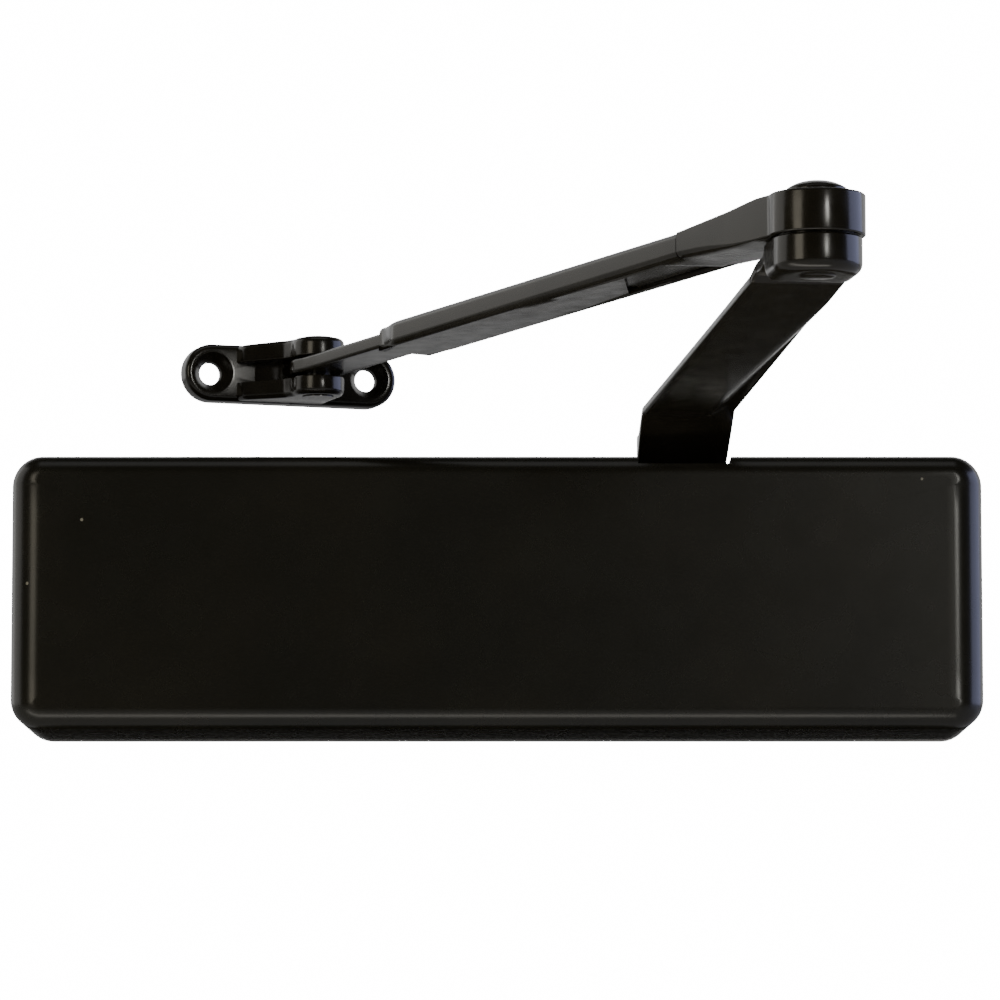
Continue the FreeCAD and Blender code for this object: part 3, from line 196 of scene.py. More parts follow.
class Forging:
    """A piece drawn from above by its half width along a line, with rounded edges.

    The outline runs from the near tip along the right side to the far tip and back along the
    left side.  Each ring of the surface is the outline pulled in by a distance and set at a
    height between the piece's floor and top, both functions of the place along the line.  A
    facet cuts the lower edge further back at a slope of 35 degrees.  The floor and the top are
    closed by strips between the two sides of the innermost rings."""

    def __init__(self, along, half_width, floor, top, floor_round, top_round, steps=5, facet=None):
        self.along, self.half_width = np.asarray(along, float), np.asarray(half_width, float)
        self.floor, self.top = floor, top
        self.floor_round, self.top_round = floor_round, top_round
        self.steps = steps
        self.facet = facet or (lambda place, across: 0 * place)

    def rings(self):
        """The outline's points and outward directions, right side then left side."""
        right = np.stack([self.along, -self.half_width], axis=-1)
        left = np.stack([self.along, self.half_width], axis=-1)[::-1]
        outline = np.vstack([right, left[1:-1]])
        tangent = np.roll(outline, -1, axis=0) - np.roll(outline, 1, axis=0)
        tangent /= np.linalg.norm(tangent, axis=1)[:, None]
        outward = np.stack([tangent[:, 1], -tangent[:, 0]], axis=-1)
        return outline, outward

    def surface(self, columns=9):
        """Points (along, across, height) and faces."""
        outline, outward = self.rings()
        count = len(outline)
        angles = np.linspace(0, math.pi / 2, self.steps)
        rings = []
        facet = self.facet(outline[:, 0], outline[:, 1])
        for angle in angles:
            share = angle / angles[-1]
            inset = self.floor_round(outline[:, 0]) * (1 - math.sin(angle)) + facet * (1 - share)
            plan = self.pulled_in(outline, outward, inset)
            lift = self.floor_round(outline[:, 0]) * (1 - math.cos(angle)) + FACET_SLOPE * facet * share
            rings.append(np.column_stack([plan, self.floor(plan[:, 0], plan[:, 1]) + lift]))
        for angle in angles[::-1]:
            inset = self.top_round(outline[:, 0]) * (1 - math.sin(angle))
            plan = self.pulled_in(outline, outward, inset)
            drop = self.top_round(outline[:, 0]) * (1 - math.cos(angle))
            rings.append(np.column_stack([plan, self.top(plan[:, 0], plan[:, 1]) - drop]))
        points = [np.vstack(rings)]
        faces = [grid_quads(len(rings), count, 0, True)]
        start = len(rings) * count
        for ring_number, height, flip in ((0, self.floor, True), (len(rings) - 1, self.top, False)):
            ring = rings[ring_number]
            first = ring_number * count
            stations = len(self.along)
            right = np.arange(1, stations - 1)
            left = count - right
            share = np.linspace(0, 1, columns)[None, 1:-1, None]
            middle = ring[right][:, None, :2] * (1 - share) + ring[left][:, None, :2] * share
            level = height(middle[..., 0], middle[..., 1])
            points.append(np.concatenate([middle, level[..., None]], axis=-1).reshape(-1, 3))
            inside = start + np.arange(len(right) * (columns - 2)).reshape(len(right), columns - 2)
            number = np.column_stack([first + right, inside, first + left])
            strip = np.stack([number[:-1, :-1], number[:-1, 1:], number[1:, 1:], number[1:, :-1]],
                             axis=-1).reshape(-1, 4)
            near = np.stack([np.full(columns - 1, first), number[0, 1:], number[0, :-1]], axis=-1)
            far = np.stack([np.full(columns - 1, first + stations - 1), number[-1, :-1], number[-1, 1:]],
                           axis=-1)
            for part in (strip, near, far):
                faces.append(part if flip else part[:, ::-1])
            start += inside.size
        return np.vstack(points), [face for part in faces for face in part.tolist()]

    @staticmethod
    def pulled_in(outline, outward, inset):
        """The outline moved inwards, never past the piece's middle line."""
        plan = outline - outward * inset[:, None]
        crossed = np.sign(plan[:, 1]) * np.sign(outline[:, 1]) < 0
        plan[crossed, 1] = 0
        return plan


def half_round(radius, centre, facing, steps):
    """Half a circle's stations: places along the line and half widths, tip first when facing -1."""
    angle = np.linspace(0, math.pi / 2, steps)
    along, width = radius * np.cos(angle), radius * np.sin(angle)
    if facing < 0:
        return centre - along, width
    return centre + along[::-1], width[::-1]


def set_along(points, origin, line):
    """Points drawn along +X from the origin turned to a line seen from above."""
    points = np.asarray(points, float)
    return np.column_stack([origin[0] + points[:, 0] * line[0] - points[:, 1] * line[1],
                            origin[1] + points[:, 0] * line[1] + points[:, 1] * line[0], points[:, 2]])


# ---------------------------------------------------------------- materials

def add(tree, kind, inputs=None, links=None, **settings):
    """Adds a node with its settings, socket values and links from other nodes' sockets."""
    made = tree.nodes.new(kind)
    for key, item in settings.items():
        setattr(made, key, item)
    for socket, item in (inputs or {}).items():
        made.inputs[socket].default_value = item
    for socket, source in (links or {}).items():
        tree.links.new(source, made.inputs[socket])
    return made


def new_material(name, colour, metallic, roughness, **constants):
    """A Principled material with the object's own coordinates; returns material, tree, shader, place."""
    material = bpy.data.materials.new(name)
    material.use_nodes = True
    tree = material.node_tree
    shader = tree.nodes["Principled BSDF"]
    shader.inputs["Base Color"].default_value = linear(colour)
    shader.inputs["Metallic"].default_value = metallic
    shader.inputs["Roughness"].default_value = roughness
    for socket, number in constants.items():
        shader.inputs[socket.replace("_", " ")].default_value = number
    material.diffuse_color = linear(colour)
    place = add(tree, "ShaderNodeTexCoord").outputs["Object"]
    return material, tree, shader, place


def mixed_colours(tree, factor, first, second):
    """A blend of two sRGB colours by a factor."""
    mix = add(tree, "ShaderNodeMix", data_type="RGBA")
    mix.inputs[6].default_value = linear(first)
    mix.inputs[7].default_value = linear(second)
    tree.links.new(factor, mix.inputs[0])
    return mix.outputs[2]


def grain(tree, place, size_mm, detail=2.0, roughness=0.5):
    """Noise whose features are about a size in millimetres."""
    sockets = {"Scale": 1 / (size_mm * MM), "Detail": detail, "Roughness": roughness}
    return add(tree, "ShaderNodeTexNoise", sockets, {"Vector": place})


def spread(tree, value, low_end, high_end, out_low=0.0, out_high=1.0):
    """Stretches a value's range."""
    return add(tree, "ShaderNodeMapRange", {"From Min": low_end, "From Max": high_end, "To Min": out_low,
                                            "To Max": out_high}, {"Value": value}).outputs["Result"]


def relief(tree, shader, height, strength, depth_mm):
    """Bumps the shader's surface by a height pattern."""
    bump = add(tree, "ShaderNodeBump", {"Strength": strength, "Distance": depth_mm * MM}, {"Height": height})
    tree.links.new(bump.outputs["Normal"], shader.inputs["Normal"])


def satin_bronze_enamel(colours):
    """Baked dark bronze enamel on sheet steel: satin, with a faint orange peel and a few dust
    specks under the paint, so that wide soft reflections look slightly cloudy."""
    material, tree, shader, place = new_material("satin_bronze_enamel", colours.cover_colour, 0.0,
                                                 colours.cover_roughness, IOR=1.5)
    cloud = grain(tree, place, 40, 3.0).outputs["Fac"]
    colour = mixed_colours(tree, spread(tree, cloud, 0.35, 0.65), "#16150d", "#1c1a11")
    cells = add(tree, "ShaderNodeTexVoronoi", {"Scale": 1 / (34 * MM)}, {"Vector": place})
    speck = spread(tree, cells.outputs["Distance"], 0.012, 0.018, 1.0, 0.0)
    speckled = add(tree, "ShaderNodeMix", data_type="RGBA")
    speckled.inputs[7].default_value = linear("#8f8b7c")
    tree.links.new(speck, speckled.inputs[0])
    tree.links.new(colour, speckled.inputs[6])
    tree.links.new(speckled.outputs[2], shader.inputs["Base Color"])
    rough = spread(tree, grain(tree, place, 12, 4.0).outputs["Fac"], 0.3, 0.7, colours.cover_roughness - 0.01,
                   colours.cover_roughness + 0.01)
    tree.links.new(rough, shader.inputs["Roughness"])
    relief(tree, shader, grain(tree, place, 2.2, 1.0).outputs["Fac"], 0.05, 0.02)
    return material


def gloss_bronze_enamel(colours):
    """Dipped dark bronze enamel on forged steel: glossier than the cover, with slow waves from
    the forging that bend the highlights and pits a few millimetres apart."""
    material, tree, shader, place = new_material("gloss_bronze_enamel", colours.arm_colour, 0.0,
                                                 colours.arm_roughness, IOR=1.5)
    cloud = grain(tree, place, 15, 3.0).outputs["Fac"]
    tree.links.new(mixed_colours(tree, spread(tree, cloud, 0.35, 0.65), "#1a170f", "#232018"),
                   shader.inputs["Base Color"])
    rough = spread(tree, grain(tree, place, 6, 4.0).outputs["Fac"], 0.3, 0.7, colours.arm_roughness - 0.04,
                   colours.arm_roughness + 0.05)
    tree.links.new(rough, shader.inputs["Roughness"])
    waves = add(tree, "ShaderNodeMath", {1: 0.08}, {0: grain(tree, place, 2.0, 1.0).outputs["Fac"]},
                operation="MULTIPLY")
    height = add(tree, "ShaderNodeMath", links={0: grain(tree, place, 7, 1.0).outputs["Fac"],
                                                1: waves.outputs["Value"]}, operation="ADD")
    relief(tree, shader, height.outputs["Value"], 0.1, 0.15)
    return material


def painted_cast_iron(colours):
    """Grey machinery paint on cast iron: a grainy sand-cast skin under thin dull paint."""
    material, tree, shader, place = new_material("painted_cast_iron", colours.casting_colour, 0.0, 0.55,
                                                 IOR=1.5)
    sand = grain(tree, place, 1.1, 4.0, 0.7).outputs["Fac"]
    tree.links.new(mixed_colours(tree, spread(tree, sand, 0.3, 0.7), "#2b2c2e", "#3a3b3d"),
                   shader.inputs["Base Color"])
    relief(tree, shader, sand, 0.35, 0.25)
    return material


def steel(name, dark, light, roughness, mark_mm, stretch, depth_mm, strength=0.25):
    """Bare or plated steel whose fine marks run along one direction: the marks break the
    reflections into soft streaks."""
    material, tree, shader, place = new_material(name, light, 1.0, roughness)
    mapped = add(tree, "ShaderNodeMapping", {"Scale": stretch}, {"Vector": place}).outputs["Vector"]
    marks = grain(tree, mapped, mark_mm, 5.0, 0.65).outputs["Fac"]
    tree.links.new(mixed_colours(tree, spread(tree, marks, 0.3, 0.7), dark, light),
                   shader.inputs["Base Color"])
    tree.links.new(spread(tree, marks, 0.3, 0.7, roughness - 0.06, roughness + 0.08),
                   shader.inputs["Roughness"])
    relief(tree, shader, marks, strength, depth_mm)
    return material


def sintered_bronze():
    """Oil-filled sintered bronze: warm, matt and full of pores a third of a millimetre across."""
    material, tree, shader, place = new_material("sintered_bronze", "#9b7440", 1.0, 0.45)
    cells = add(tree, "ShaderNodeTexVoronoi", {"Scale": 1 / (0.35 * MM)}, {"Vector": place})
    pores = cells.outputs["Distance"]
    tree.links.new(mixed_colours(tree, spread(tree, pores, 0.1, 0.5), "#5b4325", "#a67d47"),
                   shader.inputs["Base Color"])
    relief(tree, shader, pores, 0.3, 0.05)
    return material


def nitrile_rubber():
    """Moulded nitrile rubber: dull black with a bloom that lightens it in patches."""
    material, tree, shader, place = new_material("nitrile_rubber", "#171717", 0.0, 0.6, IOR=1.52)
    bloom = grain(tree, place, 3, 3.0).outputs["Fac"]
    tree.links.new(mixed_colours(tree, spread(tree, bloom, 0.4, 0.7), "#121212", "#232322"),
                   shader.inputs["Base Color"])
    relief(tree, shader, grain(tree, place, 0.5, 2.0).outputs["Fac"], 0.15, 0.03)
    return material


def matt_paper(name, colour):
    """Seamless studio paper: matt, with a faint tooth."""
    material, tree, shader, place = new_material(name, colour, 0.0, 0.9, IOR=1.45)
    relief(tree, shader, grain(tree, place, 2, 2.0).outputs["Fac"], 0.05, 0.05)
    return material


def made(name):
    """A material that the finishes operator has made."""
    if name not in bpy.data.materials:
        raise RuntimeError(f"the finish {name} isn't made yet")
    return bpy.data.materials[name]


# ---------------------------------------------------------------- sizes and colours

class CoverSizes(bpy.types.PropertyGroup):
    """Sizes of the cover's rounded edges."""
    end_round: bpy.props.FloatProperty(name="End rounding", description="Front edges at the two ends",
                                       default=10 * MM, unit="LENGTH")
    long_round: bpy.props.FloatProperty(name="Long rounding", description="Front edges above and below",
                                        default=6.5 * MM, unit="LENGTH")
    corner_round: bpy.props.FloatProperty(name="Corner rounding", description="Corners seen from the front",
                                          default=10 * MM, unit="LENGTH")
    wall: bpy.props.FloatProperty(name="Wall", description="Thickness of the drawn sheet", default=2 * MM,
                                  unit="LENGTH")
    notch_gap: bpy.props.FloatProperty(name="Notch gap", description="Round the arm's hub in the cover's top",
                                       default=0.3 * MM, unit="LENGTH")


class Finishes(bpy.types.PropertyGroup):
    """Colours and gloss."""
    cover_colour: bpy.props.StringProperty(name="Cover colour", description="sRGB hex of the satin enamel",
                                           default="#262217")
    cover_roughness: bpy.props.FloatProperty(name="Cover roughness", description="Satin enamel",
                                             default=0.27, min=0.05, max=1.0)
    arm_colour: bpy.props.StringProperty(name="Arm colour", description="sRGB hex of the gloss enamel",
                                         default="#1e1b13")
    arm_roughness: bpy.props.FloatProperty(name="Arm roughness", description="Gloss enamel", default=0.2,
                                           min=0.05, max=1.0)
    casting_colour: bpy.props.StringProperty(name="Casting colour",
                                             description="sRGB hex of the body's paint",
                                             default="#333436")


class StudioSizes(bpy.types.PropertyGroup):
    """Camera and studio."""
    distance: bpy.props.FloatProperty(name="Camera distance", description="In front of the mounting face",
                                      default=1.864, unit="LENGTH")
    drop: bpy.props.FloatProperty(name="Camera drop", description="Below the middle of the cover",
                                  default=0.1755, unit="LENGTH")
    pitch: bpy.props.FloatProperty(name="Camera pitch", description="Looks up by this much",
                                   default=math.radians(6.5), subtype="ANGLE")
    lens: bpy.props.FloatProperty(name="Lens", description="Focal length in millimetres", default=201.1)
    floor: bpy.props.FloatProperty(name="Floor level", description="Studio floor below the cover's middle",
                                   default=-0.3, unit="LENGTH")
    backdrop: bpy.props.FloatProperty(name="Backdrop", description="How bright the camera sees the backdrop",
                                      default=16.0)
    surround: bpy.props.FloatProperty(name="Surround", description="Light from all round", default=0.15)


# ---------------------------------------------------------------- operators

class DOORCLOSER_OT_finishes(bpy.types.Operator):
    """Makes every finish and puts it on the CAD nodes that show."""
    bl_idname = "doorcloser.finishes"
    bl_label = "Finishes"

    def execute(self, context):
        colours = context.scene.doorcloser_finishes
        enamel = satin_bronze_enamel(colours)
        gloss = gloss_bronze_enamel(colours)
        finishes = {
            "bronze_enamel": gloss,
            "cast_body": painted_cast_iron(colours),
            "plated_steel": steel("zinc_plated_steel", "#8d8b83", "#b4b2a8", 0.34, 2.5, (1, 1, 1), 0.04),
            "ground_steel": steel("ground_steel", "#77787a", "#a9aaac", 0.25, 0.7, (0.08, 1, 1), 0.02),
            "spring_steel": steel("oiled_spring_steel", "#1d1d1f", "#3a3b3f", 0.32, 1.5, (1, 1, 0.3), 0.03),
            "black_oxide_steel": steel("black_oxide_steel", "#101011", "#26262a", 0.38, 0.8, (1, 1, 1), 0.02),
            "bronze_bearing": sintered_bronze(),
            "seal_rubber": nitrile_rubber(),
        }
        for part in frame["record"]["subparts"]:
            node = frame["nodes"][part["node"]]
            node.data.materials.clear()
            node.data.materials.append(enamel if part["node"] == "cover" else finishes[part["material_slot"]])
        return {"FINISHED"}


class DOORCLOSER_OT_cover(bpy.types.Operator):
    """Drawn cover: a rounded rectangle carried from the open back round the front edge to the
    flat face.  At an angle of the front edge the outline is pulled in by the edge's radius times
    one less the cosine, and stands forward by the radius times the sine; the radius changes
    along each corner from the end's to the long side's."""
    bl_idname = "doorcloser.cover"
    bl_label = "Cover"

    def execute(self, context):
        sizes = context.scene.doorcloser_cover
        corner_low, corner_high = low("cover"), high("cover")
        half_width, half_height = corner_high[0], corner_high[2]
        front = corner_low[1]
        hub_half = (self.hub_width() / 2) + sizes.notch_gap
        notch_floor = low("main_arm")[2] - 1.9 * MM
        notch = (PINION[0] - hub_half, PINION[0] + hub_half)
        skins = []
        for inset in (0.0, sizes.wall):
            outline, outward, edge = self.outline(half_width, half_height, sizes, inset, notch)
            reach = half_height - inset - notch_floor
            at_notch = math.acos(1 - reach / (sizes.long_round - inset))
            angles = np.concatenate([np.linspace(0, at_notch, 7), np.linspace(at_notch, math.pi / 2, 7)[1:]])
            rings = [np.column_stack([outline[:, 0], np.full(len(outline), depth), outline[:, 1]])
                     for depth in np.linspace(corner_high[1], front + sizes.end_round, 5)[:-1]]
            for angle in angles:
                plan = outline - outward * (edge * (1 - math.cos(angle)))[:, None]
                depth = front + inset + edge * (1 - math.sin(angle))
                rings.append(np.column_stack([plan[:, 0], depth, plan[:, 1]]))
            face = rings[-1]
            for share in (0.985, 0.6, 0.02):
                rings.append(face * [share, 1, share])
            skins.append(np.array(rings))
        outer, inner = skins
        rows, columns = outer.shape[:2]
        keep = np.ones((rows - 1, columns), bool)
        middle = (outer[0, :, 0] + np.roll(outer[0, :, 0], -1)) / 2
        in_notch = (middle > notch[0]) & (middle < notch[1]) & (outer[0, :, 2] > 0.9 * half_height)
        keep[:4 + 6, in_notch] = False
        points, faces = shell(outer, inner, keep)
        count = rows * columns
        last = (rows - 1) * columns
        around = np.arange(columns)
        faces = self.without_rim(faces.tolist(), last, columns, count)
        faces.append((last + around).tolist())
        faces.append((last + count + around[::-1]).tolist())
        piece = new_piece("enamelled_cover", points, faces, "closer", made("satin_bronze_enamel"), 28)
        stand_for(piece, "cover")
        return {"FINISHED"}

    @staticmethod
    def hub_width():
        """Width of the arm's hub, twice the distance from its rearmost point to the pinion axis."""
        return 2 * float(high("main_arm")[1] - PINION[1])

    @staticmethod
    def without_rim(faces, last, columns, count):
        """Leaves out the rim round the middle of the face, which two flat faces close."""
        ring = set(range(last, last + columns)) | set(range(last + count, last + count + columns))
        return [face for face in faces if not set(face) <= ring]

    @staticmethod
    def outline(half_width, half_height, sizes, inset, notch):
        """Points of the rounded rectangle in X and Z, outward directions, and the edge radius at
        each point.  Points are set close to the notch's two sides and evenly round the corners."""
        radius = sizes.corner_round - inset
        width, height = half_width - inset - radius, half_height - inset - radius
        top = np.concatenate([np.linspace(width, notch[1], 9)[1:], np.linspace(notch[1], notch[0], 9)[1:],
                              np.linspace(notch[0], -width, 17)[1:]])
        bottom = np.linspace(-width, width, 33)[1:]
        side = np.linspace(height, -height, 9)[1:]
        turn = np.linspace(0, math.pi / 2, 13)
        share = turn / turn[-1]
        end, long = sizes.end_round - inset, sizes.long_round - inset
        parts = []

        def straight(x, z, direction, edge):
            points = np.column_stack([x + 0 * z, z + 0 * x])
            parts.append((points, np.tile(direction, (len(points), 1)), np.full(len(points), edge)))

        def corner(x, z, start, edges):
            directions = np.column_stack([np.cos(start + turn), np.sin(start + turn)])[1:]
            parts.append((np.array([x, z]) + radius * directions, directions, edges[1:]))

        straight(top[:-1], np.full(len(top) - 1, height + radius), (0, 1), long)
        parts.append((np.array([[-width, height + radius]]), np.array([[0.0, 1.0]]), np.array([long])))
        corner(-width, height, math.pi / 2, long + (end - long) * share)
        straight(np.full(len(side), -width - radius), side, (-1, 0), end)
        corner(-width, -height, math.pi, end + (long - end) * share)
        straight(bottom, np.full(len(bottom), -height - radius), (0, -1), long)
        corner(width, -height, 1.5 * math.pi, long + (end - long) * share)
        straight(np.full(len(side), width + radius), -side, (1, 0), end)
        corner(width, height, 0, end + (long - end) * share)
        points, outward, edge = (np.concatenate(column) for column in zip(*parts))
        return points, outward, edge


class DOORCLOSER_OT_main_arm(bpy.types.Operator):
    """Forged main arm drawn from above: round hub, broad bar that narrows slightly, a shoulder,
    and the round lower knuckle.  Its underside climbs in a short steep riser and a long gentle
    slope, and its top is crowned across the bar."""
    bl_idname = "doorcloser.main_arm"
    bl_label = "Main arm"

    def execute(self, context):
        hub = float(high("main_arm")[1] - PINION[1])
        knuckle = 13.2 * MM
        near_half, far_half = 15.3 * MM, 14.0 * MM
        shoulder = ARM_LENGTH - 28 * MM
        hub_low, split = low("main_arm")[2], high("main_arm")[2]
        tip, tip_half = half_round(hub, 0, -1, 15)
        end, end_half = half_round(knuckle, ARM_LENGTH, 1, 19)
        bar = np.linspace(8 * MM, shoulder - 0.6 * MM, 60)
        bar_half = ramp(bar, (8 * MM, hub), (27 * MM, near_half), (shoulder, far_half))
        neck = np.concatenate([[shoulder + 0.2 * MM], np.linspace(shoulder + 1 * MM, ARM_LENGTH - 14 * MM, 8),
                               np.linspace(ARM_LENGTH - 13 * MM, ARM_LENGTH - 1 * MM, 16)])
        neck_half = np.where(neck < shoulder + 0.5 * MM, far_half - 0.4 * MM, knuckle)
        along = np.concatenate([tip, bar, neck, end])
        half = np.concatenate([tip_half, bar_half, neck_half, end_half])

        def floor(place, across):
            rising = ramp(place, (9 * MM, hub_low), (27 * MM, hub_low + 13.9 * MM),
                          (shoulder, hub_low + 31.4 * MM), (shoulder + 0.4 * MM, hub_low + 33.4 * MM))
            drop = smooth_step(place, ARM_LENGTH - knuckle - 0.8 * MM, ARM_LENGTH - knuckle + 1.5 * MM)
            return rising - drop * 4 * MM

        def top(place, across):
            rising = ramp(place, (7 * MM, hub_low + 11 * MM), (27 * MM, hub_low + 21.9 * MM),
                          (shoulder, hub_low + 39.4 * MM), (ARM_LENGTH, split))
            on_knuckle = ARM_LENGTH - knuckle
            before_knuckle = 1 - smooth_step(place, on_knuckle - 2 * MM, on_knuckle)
            on_bar = smooth_step(place, 2 * MM, 16 * MM) * before_knuckle
            on_neck = smooth_step(place, shoulder - 2 * MM, shoulder + 2 * MM)
            edge = np.clip((np.abs(across) - 6 * MM) / (8 * MM), 0, 1)
            level = np.where(place > on_knuckle, split, np.minimum(rising, split - 1.1 * MM))
            return level - on_bar * (5.2 - 2.6 * on_neck) * MM * edge ** 1.6

        def floor_round(place):
            return (1.1 + 2.3 * smooth_step(place, ARM_LENGTH - 20 * MM, ARM_LENGTH - 12 * MM)) * MM

        def top_round(place):
            return 0.7 * MM + 0 * place

        def facet(place, across):
            grown = ramp(place, (24 * MM, 0), (29 * MM, 8 * MM), (60 * MM, 6.5 * MM), (175 * MM, 0))
            return np.where(across > 0, grown, 0)

        points, faces = Forging(along, half, floor, top, floor_round, top_round, 6, facet).surface(13)
        points[:, 1] += ramp(points[:, 0], (0, 0), (9 * MM, -1.6 * MM), (28 * MM, -2.6 * MM), (shoulder, 0))
        piece = new_piece("forged_main_arm", set_along(points, PINION, ARM_LINE), faces, "pinion",
                          made("gloss_bronze_enamel"), 32)
        stand_for(piece, "main_arm")
        return {"FINISHED"}


class DOORCLOSER_OT_elbow_rivet(bpy.types.Operator):
    """Elbow rivet: a shank with a rounded lower end and a low domed head, turned round the
    elbow's axis.  The dome's height falls off with the square of the radius."""
    bl_idname = "doorcloser.elbow_rivet"
    bl_label = "Elbow rivet"

    def execute(self, context):
        foot, crown = low("elbow_rivet")[2], high("elbow_rivet")[2]
        seat = high("forearm_elbow_piece")[2] + 0.2 * MM
        shank, head = 5.4 * MM, 8.9 * MM
        rise = np.linspace(1, 0, 12)
        profile = [(0, foot), (shank * 0.72, foot), (shank * 0.9, foot + 0.15 * MM), (shank, foot + 0.5 * MM),
                   (shank, seat), (head - 0.4 * MM, seat), (head, seat + 0.35 * MM), (head, seat + 1.2 * MM)]
        crown -= 0.8 * MM
        profile += [(head * part, crown - (crown - seat - 1.4 * MM) * part ** 2.6) for part in rise * 0.985]
        piece = turned_surface("domed_elbow_rivet", profile, ELBOW, "pinion", made("gloss_bronze_enamel"))
        stand_for(piece, "elbow_rivet")
        return {"FINISHED"}


class DOORCLOSER_OT_forearm_elbow_piece(bpy.types.Operator):
    """Forged end of the forearm: a round knuckle whose flanks run straight into a neck that
    thins in height and width to the sleeve, and a tongue inside the sleeve."""
    bl_idname = "doorcloser.forearm_elbow_piece"
    bl_label = "Forearm elbow piece"

    def execute(self, context):
        bottom = high("elbow_washer")[2]
        crown = high("forearm_elbow_piece")[2]
        radius = 14.2 * MM
        sleeve, tongue, neck_half = 54 * MM, 104 * MM, 12.2 * MM
        start = math.sqrt(radius ** 2 - neck_half ** 2)
        lap = math.asin(neck_half / radius)
        tip = radius * np.cos(np.linspace(math.pi, lap, 25))
        tip_half = radius * np.sin(np.linspace(math.pi, lap, 25))
        neck = np.concatenate([np.linspace(start + 1 * MM, sleeve - 0.3 * MM, 40), [sleeve + 0.1 * MM],
                               np.linspace(sleeve + 1 * MM, tongue - 0.6 * MM, 30)])
        widths = np.where(neck < sleeve, neck_half, 10.5 * MM)
        along = np.concatenate([tip, neck, [tongue - 0.2 * MM, tongue]])
        half = np.concatenate([tip_half, widths, [10.2 * MM, 0.0]])
        middle = (bottom + crown) / 2

        def centre(place):
            return middle + FOREARM_SLOPE * np.maximum(place, 0) * smooth_step(place, 4 * MM, 30 * MM)

        def floor(place, across):
            neck_part = ramp(place, (radius, (crown - bottom) / 2), (sleeve, 3.9 * MM))
            chin = sleeve + 8 * MM + 0.4 * across
            return centre(place) - neck_part + 1.6 * MM * smooth_step(place, chin, chin + 4 * MM)

        def top(place, across):
            neck_part = ramp(place, (radius, (crown - bottom) / 2), (sleeve, 3.9 * MM))
            return centre(place) + np.where(place < sleeve, neck_part, 2.35 * MM)

        def floor_round(place):
            return (0.5 + 1.7 * smooth_step(place, 16 * MM, 44 * MM)) * MM

        def top_round(place):
            return 0.8 * MM + 0 * place

        points, faces = Forging(along, half, floor, top, floor_round, top_round, 5).surface(9)
        piece = new_piece("forged_forearm_elbow_piece", set_along(points, ELBOW, FOREARM_LINE), faces,
                          "forearm", made("gloss_bronze_enamel"), 32)
        stand_for(piece, "forearm_elbow_piece")
        return {"FINISHED"}


class DOORCLOSER_OT_forearm_sleeve(bpy.types.Operator):
    """Folded sleeve: a flat rounded tube carried along the forearm, its shoulders drawn in
    towards the rod, with a scalloped opening in its underside next to the elbow piece."""
    bl_idname = "doorcloser.forearm_sleeve"
    bl_label = "Forearm sleeve"

    def execute(self, context):
        start, end = 54 * MM, FOREARM_LENGTH - 53 * MM
        window_end, window_half = start + 43 * MM, 9.8 * MM
        wall, height = 1.5 * MM, 7.8 * MM
        shoulder = end - 16 * MM
        stations = np.concatenate([np.linspace(start, window_end, 19),
                                   np.linspace(window_end, shoulder, 20)[1:],
                                   np.linspace(shoulder, end, 17)[1:]])
        half = 12.2 * MM - 2.6 * MM * smooth_step(stations, end - 13 * MM, end - 1 * MM)
        middle = ELBOW[2] + FOREARM_SLOPE * stations
        skins = [self.skin(stations, half - inset, middle, height / 2 - inset, 2.2 * MM - inset, window_half)
                 for inset in (0.0, wall)]
        outer, inner = skins
        fade = np.interp(np.arange(len(stations)), (0, 18, 26), (0, 1, 0))[:, None]
        for skin in skins:
            beneath = (np.abs(skin[..., 1]) < window_half + 0.1 * MM) & (skin[..., 2] < middle[:, None])
            skin[..., 0] -= np.where(beneath, fade * 1.3 * skin[..., 1], 0)
        keep = np.ones((len(stations) - 1, outer.shape[1]), bool)
        across = (outer[:, :, 1] + np.roll(outer[:, :, 1], -1, axis=1)) / 2
        under = (np.abs(across[0]) < window_half) & (outer[0, :, 2] < middle[0])
        keep[:18, under] = False
        points, faces = shell(outer, inner, keep)
        piece = new_piece("folded_sleeve", set_along(points, ELBOW, FOREARM_LINE), faces, "forearm",
                          made("gloss_bronze_enamel"), 32)
        stand_for(piece, "forearm_sleeve")
        return {"FINISHED"}

    @staticmethod
    def skin(stations, half, middle, half_height, corner, window_half):
        """Grid of one skin: at each station a rounded rectangle, with points at the opening's
        two edges."""
        turn = np.linspace(0, math.pi / 2, 6)
        corners = ((1, 1, 0.0), (-1, 1, math.pi / 2), (-1, -1, math.pi), (1, -1, 1.5 * math.pi))
        across = [side * (half[:, None] - corner) + corner * np.cos(first + turn)
                  for side, _, first in corners]
        levels = [level * (half_height - corner) + corner * np.sin(first + turn) + 0 * half[:, None]
                  for _, level, first in corners]
        under = np.linspace(-window_half, window_half, 7)[None, :] + 0 * half[:, None]
        y = np.concatenate(across[:3] + [under] + across[3:], axis=1)
        z = np.concatenate(levels[:3] + [np.full_like(under, -half_height)] + levels[3:], axis=1)
        return np.stack([stations[:, None] + 0 * y, y, middle[:, None] + z], axis=-1)


